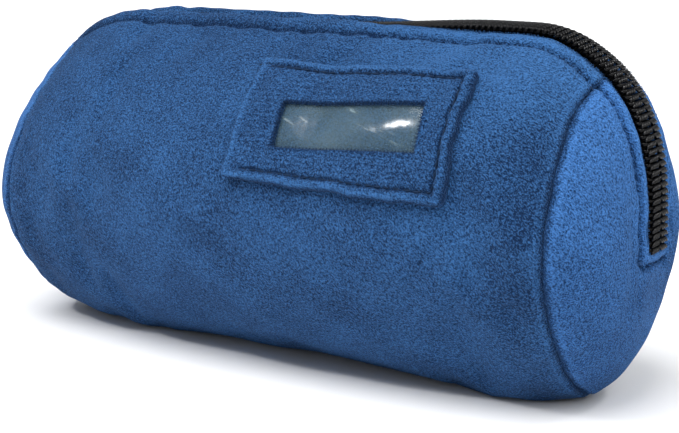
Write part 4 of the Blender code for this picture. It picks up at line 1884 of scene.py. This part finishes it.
@dataclass
class LabelHolder:
    """The label holder on the front: a hemmed velour frame with a clear window."""

    form: Form
    finishes: Finishes
    along: Along
    centre: float = 31 * MM
    rise: float = 27.3 * MM
    half: tuple[float, float] = (32.2 * MM, 17.5 * MM)
    window: tuple[float, float] = (20.7 * MM, 6.15 * MM)
    window_centre: tuple[float, float] = (1.4 * MM, -0.6 * MM)
    window_turn: float = math.radians(3.4)
    lap: float = 2.3 * MM
    tilt: float = math.radians(-0.8)
    high: float = 2.3 * MM
    low: float = 0.3 * MM
    stitch_in: float = 3.0 * MM
    stitch_pitch: float = 2.7 * MM
    stitch_size: tuple[float, float, float] = (2.0 * MM, 0.5 * MM, 0.5 * MM)
    edge_pitch: float = 1.05 * MM
    edge_size: tuple[float, float, float] = (1.25 * MM, 0.36 * MM, 0.5 * MM)
    open_from: float = 6 * MM
    open_ease: float = 3 * MM
    ruffle: float = 1.9 * MM
    ruffled: tuple[float, float] = (24 * MM, 28 * MM)
    vinyl_thick: float = 0.25 * MM
    reach: float = 8 * MM

    def __post_init__(self) -> None:
        """Tabulates the direction of each height on the front, and how far its skin stands out there."""
        skin = bpy.data.objects["outer_body_front"].data
        ground = BVHTree.FromPolygons([v.co for v in skin.vertices], [p.vertices for p in skin.polygons])
        self.x_table = np.linspace(-12 * MM, 72 * MM, 30)
        self.s_table = np.linspace(0, 56 * MM, 140)
        angle = np.linspace(0, math.radians(84), 500)
        lines = [self.form.on_body(np.full(500, x), angle, Flank.FRONT, 0.0) for x in self.x_table]
        self.angles = np.stack([np.interp(self.s_table, lengths(line), angle) for line in lines])
        points, normals = self.face(*np.meshgrid(self.x_table, self.s_table, indexing="ij"))
        deep = [
            ground.ray_cast(Vector(a + self.reach * b), Vector(-b))[3] or self.reach
            for a, b in zip(points.reshape(-1, 3), normals.reshape(-1, 3))
        ]
        self.stands = self.reach - np.reshape(deep, self.angles.shape)
        for axis, passes in ((0, 5), (1, 60)):
            for _ in range(passes):
                padded = np.pad(self.stands, [(1, 1) if i == axis else (0, 0) for i in range(2)], "edge")
                low, high = (np.take(padded, range(i, i + self.stands.shape[axis]), axis) for i in (0, 2))
                self.stands = 0.5 * self.stands + 0.25 * (low + high)

    def tabled(self, table: Array, x: Array, s: Array) -> Array:
        """Reads a table between its rows and columns.

        Args:
            table: the table.
            x: stations.
            s: heights along the face.

        Returns:
            Its value at each.
        """
        i = np.clip((x - self.x_table[0]) / (self.x_table[1] - self.x_table[0]), 0, len(self.x_table) - 1.001)
        j = np.clip(s / self.s_table[1], 0, len(self.s_table) - 1.001)
        a, b = i.astype(int), j.astype(int)
        u, v = i - a, j - b
        return (table[a, b] * (1 - u) * (1 - v) + table[a + 1, b] * u * (1 - v)
                + table[a, b + 1] * (1 - u) * v + table[a + 1, b + 1] * u * v)

    def face(self, x: Array, s: Array) -> tuple[Array, Array]:
        """Finds places on the front's smooth form.

        Args:
            x: stations.
            s: heights along the face.

        Returns:
            The points, and the form's normals there.
        """

        def at(x: Array, s: Array) -> Array:
            """Points of the form at stations and heights."""
            return self.form.on_body(x, self.tabled(self.angles, x, s), Flank.FRONT, 0.0)

        e = 0.4 * MM
        normal = np.cross(at(x + e, s) - at(x - e, s), at(x, s + e) - at(x, s - e))
        return at(x, s), normal / np.linalg.norm(normal, axis=-1, keepdims=True)

    def on_front(self, x: Array, s: Array, lift: Array | float) -> Array:
        """Points over the front's skin, by station, height along the face and lift off it."""
        points, normals = self.face(x, s)
        return points + normals * (lift + self.tabled(self.stands, x, s))[..., None]

    def placed(self, flat: Array, lift: Array | float) -> Array:
        """Carries places on the label to the front.

        Args:
            flat: places, measured from the label's centre.
            lift: their height off the skin.

        Returns:
            The points.
        """
        cos, sin = math.cos(self.tilt), math.sin(self.tilt)
        x = self.centre + flat[..., 0] * cos - flat[..., 1] * sin
        s = self.rise + flat[..., 0] * sin + flat[..., 1] * cos
        return self.on_front(x, s, lift)

    def on_window(self, flat: Array) -> Array:
        """Carries places on the window to the label.

        Args:
            flat: places, measured from the window's centre.

        Returns:
            Places measured from the label's centre.
        """
        cos, sin = math.cos(self.window_turn), math.sin(self.window_turn)
        moved = flat.copy()
        moved[..., 0] = self.window_centre[0] + flat[..., 0] * cos - flat[..., 1] * sin
        moved[..., 1] = self.window_centre[1] + flat[..., 0] * sin + flat[..., 1] * cos
        return moved

    def from_window(self, flat: Array) -> Array:
        """Measures from the window's edge.

        Args:
            flat: places, measured from the label's centre.

        Returns:
            How far outside the window each is.
        """
        cos, sin = math.cos(self.window_turn), math.sin(self.window_turn)
        x, y = flat[..., 0] - self.window_centre[0], flat[..., 1] - self.window_centre[1]
        return np.maximum(abs(x * cos + y * sin) - self.window[0], abs(y * cos - x * sin) - self.window[1])

    def rim(self, half: tuple[float, float], count: int, corner: float = 26.0) -> Array:
        """Draws a rectangle with tight round corners.

        Args:
            half: its half width and half height.
            count: how many points.
            corner: how tight its corners are.

        Returns:
            Evenly spread points round it.
        """
        turn = np.linspace(0, 4, count, endpoint=False)
        side, share = turn.astype(int), 2 * (turn % 1) - 1
        unit = np.stack([
            np.select([side == 0, side == 1, side == 2], [share, 1.0, -share], -1.0),
            np.select([side == 0, side == 1, side == 2], [-1.0, share, 1.0], -share),
        ], axis=-1)
        unit /= (np.abs(unit) ** corner).sum(axis=-1, keepdims=True) ** (1 / corner)
        return unit * np.array(half)

    def build(self) -> None:
        """Makes the frame, the window and their stitches."""
        self.cloth_frame()
        self.clear_window()
        shape = stitch_shape()
        x, y = self.half[0] - self.stitch_in, self.half[1] - self.stitch_in
        left = -x - 2 * MM
        hem = np.array([(left, y, 0), (x, y, 0), (x, -y, 0), (left, -y, 0)])
        hem = resampled(hem, np.linspace(0, lengths(hem)[-1], 500))
        rows = self.along.lay(
            "label_stitches", [self.raised(hem, 0.35 * MM)], shape, self.stitch_pitch,
            self.finishes.thread, self.stitch_size, jitter=0.08, seed=6,
        )
        x, y = self.window[0] + 0.35 * MM, self.window[1] + 0.35 * MM
        box = np.array([(-x, -y, 0), (x, -y, 0), (x, y, 0), (-x, y, 0), (-x, -y, 0)])
        box = self.on_window(resampled(box, np.linspace(0, lengths(box)[-1], 700)))
        edge = self.along.lay(
            "window_stitches", [self.raised(box, 0.45 * MM)], shape, self.edge_pitch,
            self.finishes.thread, self.edge_size, slant=1.35, jitter=0.25, seed=9,
        )
        drop_shape(shape)
        for piece in (rows, edge):
            settle(piece, "front_flank", "label_velour")

    def raised(self, flat: Array, sunk: float) -> tuple[Array, Array]:
        """Makes a guide for stitches in the label's face.

        Args:
            flat: places on the label, measured from its centre.
            sunk: how far the guide lies under the face.

        Returns:
            The line, and the outward direction at each of its points.
        """
        here = self.placed(flat, self.high - sunk)
        up = self.placed(flat, self.high + 1 * MM) - here
        return here, up / np.linalg.norm(up, axis=1, keepdims=True)

    def cloth_frame(self) -> None:
        """Makes the velour frame as one closed ring round the window."""
        count = 440
        outer, inner = self.rim(self.half, count), self.on_window(self.rim(self.window, count, 40.0))
        rows = np.linspace(0, 1, 66)
        place = np.linspace(0, 1, count, endpoint=False)[:, None]
        flat = outer[:, None] + (inner - outer)[:, None] * rows[None, :, None]
        from_outer = np.min(np.array(self.half) - np.abs(flat), axis=-1)
        from_inner = self.from_window(flat)
        lift = np.full(flat.shape[:2], self.high)
        left = np.clip((-flat[..., 0] - self.half[0] + self.open_from) / self.open_ease, 0, 1)
        hem = np.sin(math.pi * np.clip(from_outer / self.stitch_in, 0, 1))
        right = smooth_step(flat[..., 0], *self.ruffled)
        lift += (0.45 + 0.35 * right) * MM * (1 - 0.8 * left) * hem
        lift += 0.16 * MM * right * hem * np.sin(2 * math.pi * flat[..., 1] / self.ruffle)
        dash = 0.75 + 0.25 * np.cos(2 * math.pi * (flat[..., 0] + flat[..., 1]) / self.stitch_pitch)
        lift -= 0.65 * MM * dash * (1 - left) * hill(from_outer, self.stitch_in, 0.5 * MM)
        lift -= 0.18 * MM * hill(from_inner, 1.9 * MM, 0.7 * MM)
        level = np.concatenate([flat, 0 * flat[..., :1]], axis=-1)
        lift += 0.14 * MM * Ripples(41, 4 * MM, 12 * MM).at(level)
        roll = Relief()
        lift -= roll.rolled(np.clip(from_outer, 0, None), 1.2 * MM) * (1.3 - 0.7 * left)
        lift -= roll.rolled(np.clip(from_inner, 0, None), 0.7 * MM)
        corner = np.exp(-(((flat - np.array([-self.half[0], -self.half[1]])) / (6 * MM)) ** 2).sum(axis=-1))
        turn = 2 * math.pi * place
        round_it = np.concatenate([np.cos(turn), np.sin(turn), 0 * turn], axis=1) * 32 * MM
        wander = 0.30 * MM * Ripples(43, 7 * MM, 22 * MM).at(round_it)[:, None]
        away = flat / np.linalg.norm(flat, axis=-1, keepdims=True)
        moved = flat + away * (wander * (1 - rows)[None, :])[..., None]
        top = self.placed(moved, lift + 0.9 * MM * corner)
        under = np.minimum(self.low + 0.7 * MM * corner, lift + 0.9 * MM * corner - 0.2 * MM)
        base = self.placed(moved, under)
        piece = shell_piece("label_frame_cloth", top, base, self.finishes.label, ring=True)
        # Painted shade: along the stitch line, a painted contact shadow round the frame's outer foot, and a
        # painted shadow at the window's edge.
        sewn = (1 - left) * dash * hill(from_outer, self.stitch_in, 0.6 * MM)
        foot = hill(from_outer, 0.0, 0.55 * MM)
        edge = 0.9 * hill(from_inner, 0.0, 0.5 * MM)
        mark(piece, "crease", np.clip(1.1 * sewn + foot + edge, 0, 1))
        # Painted highlight on the hem band, weaker on the right, and a little painted shade on the frame
        # inward of the stitch line.
        band = hill(from_outer, 1.1 * MM, 0.9 * MM)
        dull = smooth_step(flat[..., 0], 20 * MM, 30 * MM) * 0.7
        inner = 1 - smooth_step(from_outer, 3 * MM, 5 * MM)
        mark(piece, "brushed", 0.75 * band * (1 - dull) - 0.12 + 0.12 * inner)
        settle(piece, "front_flank", "label_velour", "label_frame")
        width, tall = 2 * (self.half[0] + self.stitch_in), 2 * (self.half[1] + self.stitch_in)
        cut = width * tall - 4 * self.window[0] * self.window[1]

    def clear_window(self) -> None:
        """Makes the clear window, slack between its sewn edges."""
        wide, tall = self.window[0] + self.lap, self.window[1] + self.lap
        u, v = np.meshgrid(np.linspace(-1, 1, 110), np.linspace(-1, 1, 50), indexing="ij")
        flat = self.on_window(np.stack([u * wide, v * tall, 0 * u], axis=-1))
        slack = (1 - u**2) * (1 - v**2)
        waves = Ripples(51, 11 * MM, 26 * MM, 7).at(flat * np.array([0.45, 1, 1]))
        lift = 0.75 * MM + 0.45 * MM * slack + 0.12 * MM * slack * waves
        top, under = self.placed(flat, lift), self.placed(flat, lift - self.vinyl_thick)
        piece = shell_piece("label_window_sheet", top, under, self.finishes.vinyl)
        settle(piece, "front_flank", "clear_vinyl", "label_window")
        2 * wide
        2 * tall


@dataclass
class Slider:
    """The slider and its pull at the left end, as packed, in worn enamel."""

    finishes: Finishes

    def build(self) -> None:
        """Dresses the slider and the pull."""
        for node in ("slider_body", "pull_tab"):
            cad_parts[node].data.materials.clear()
            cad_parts[node].data.materials.append(self.finishes.metal)
            log.info("%s dressed", node)


@dataclass
class Studio:
    """Camera, floor and soft light."""

    azimuth: float = math.radians(33.44)
    elevation: float = math.radians(12.07)
    distance: float = 433.2 * MM
    aim: tuple[float, float, float] = (8.38 * MM, 0.0, 39.02 * MM)
    lens: float = 81.77
    ambient: float = 0.42

    def build(self) -> None:
        """Makes the camera, the floor, the lights and the pale surroundings."""
        away = Vector((
            math.sin(self.azimuth) * math.cos(self.elevation),
            -math.cos(self.azimuth) * math.cos(self.elevation),
            math.sin(self.elevation),
        ))
        data = bpy.data.cameras.new("camera")
        data.lens = self.lens
        data.sensor_width = 36
        data.clip_start = 0.01
        camera = linked("camera", data)
        camera.location = Vector(self.aim) + away * self.distance
        camera.rotation_euler = away.to_track_quat("Z", "Y").to_euler()
        bpy.context.scene.camera = camera
        self.floor()
        self.sun("key", (-0.10, -0.34, 0.95), 2.75, 46)
        self.sun("side", (0.85, -0.20, 0.85), 1.05, 44)
        self.lamp("glint", (-0.239, -0.370, 0.482), 0.045, 0.8)
        self.sun("spark", (0.45, 0.30, 0.80), 0.55, 5)
        self.surroundings()
        bpy.context.scene.view_settings.view_transform = "Standard"

    def surroundings(self) -> None:
        """Surrounds the case with a soft grey light, behind which the eye sees white."""
        world = bpy.data.worlds.new("surroundings")
        world.use_nodes = True
        wiring = Wiring(world.node_tree)
        wiring.tree.nodes.clear()
        soft = wiring.node(
            "ShaderNodeBackground", {}, {"Color": (0.96, 0.98, 1.0, 1.0), "Strength": self.ambient}
        )
        white = wiring.node("ShaderNodeBackground", {}, {"Color": (1.0, 1.0, 1.0, 1.0), "Strength": 1.0})
        path = wiring.node("ShaderNodeLightPath")
        both = wiring.node(
            "ShaderNodeMixShader", {},
            {0: path.outputs["Is Camera Ray"], 1: soft.outputs[0], 2: white.outputs[0]},
        )
        wiring.node("ShaderNodeOutputWorld", {}, {"Surface": both.outputs[0]})
        bpy.context.scene.world = world

    def sun(self, name: str, place: tuple[float, float, float], power: float, spread: float) -> None:
        """Adds broad light from one direction.

        Args:
            name: the light's name.
            place: the direction that it comes from.
            power: its strength.
            spread: how wide it is, in degrees.
        """
        data = bpy.data.lights.new(name, "SUN")
        data.energy = power
        data.angle = math.radians(spread)
        linked(name, data).rotation_euler = Vector(place).to_track_quat("Z", "Y").to_euler()

    def floor(self) -> None:
        """Lays a wide pale floor."""
        reach = 30.0
        mesh = bpy.data.meshes.new("studio_floor")
        corners = [(-reach, -reach, 0), (reach, -reach, 0), (reach, reach, 0), (-reach, reach, 0)]
        mesh.from_pydata(corners, [], [(0, 1, 2, 3)])
        mesh.materials.append(Sweep().material())
        linked("studio_floor", mesh)

    def lamp(self, name: str, place: tuple[float, float, float], size: float, power: float) -> None:
        """Hangs one soft lamp, aimed at the case.

        Args:
            name: the lamp's name.
            place: where it hangs.
            size: how wide it is.
            power: its strength.
        """
        data = bpy.data.lights.new(name, "AREA")
        data.shape = "DISK"
        data.size = size
        data.energy = power
        made = linked(name, data)
        made.location = place
        made.rotation_euler = (Vector(place) - Vector(self.aim)).to_track_quat("Z", "Y").to_euler()


def main() -> None:
    """Builds the case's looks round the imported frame, in order."""
    logging.basicConfig(level=logging.INFO, format="%(name)s: %(message)s")
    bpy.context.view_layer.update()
    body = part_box("outer_body_panel")
    form = Form(
        half_depth=-body[0].y,
        top=body[1].z,
        bulge={
            End.LEFT: -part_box("outer_end_panel_left")[0].x - 88 * MM,
            End.RIGHT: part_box("outer_end_panel_right")[1].x - 88 * MM,
        },
    )
    Studio().build()
    finishes = Finishes.made()
    along = Along("set_along_guide")
    Skin(form, finishes).build()
    Inside(form, finishes).build()
    Zip(form, finishes, along).build()
    Topstitching(form, finishes, along).build()
    Pile(form, finishes, along).build()
    LabelHolder(form, finishes, along).build()
    Slider(finishes).build()


if __name__ == "__main__":
    main()
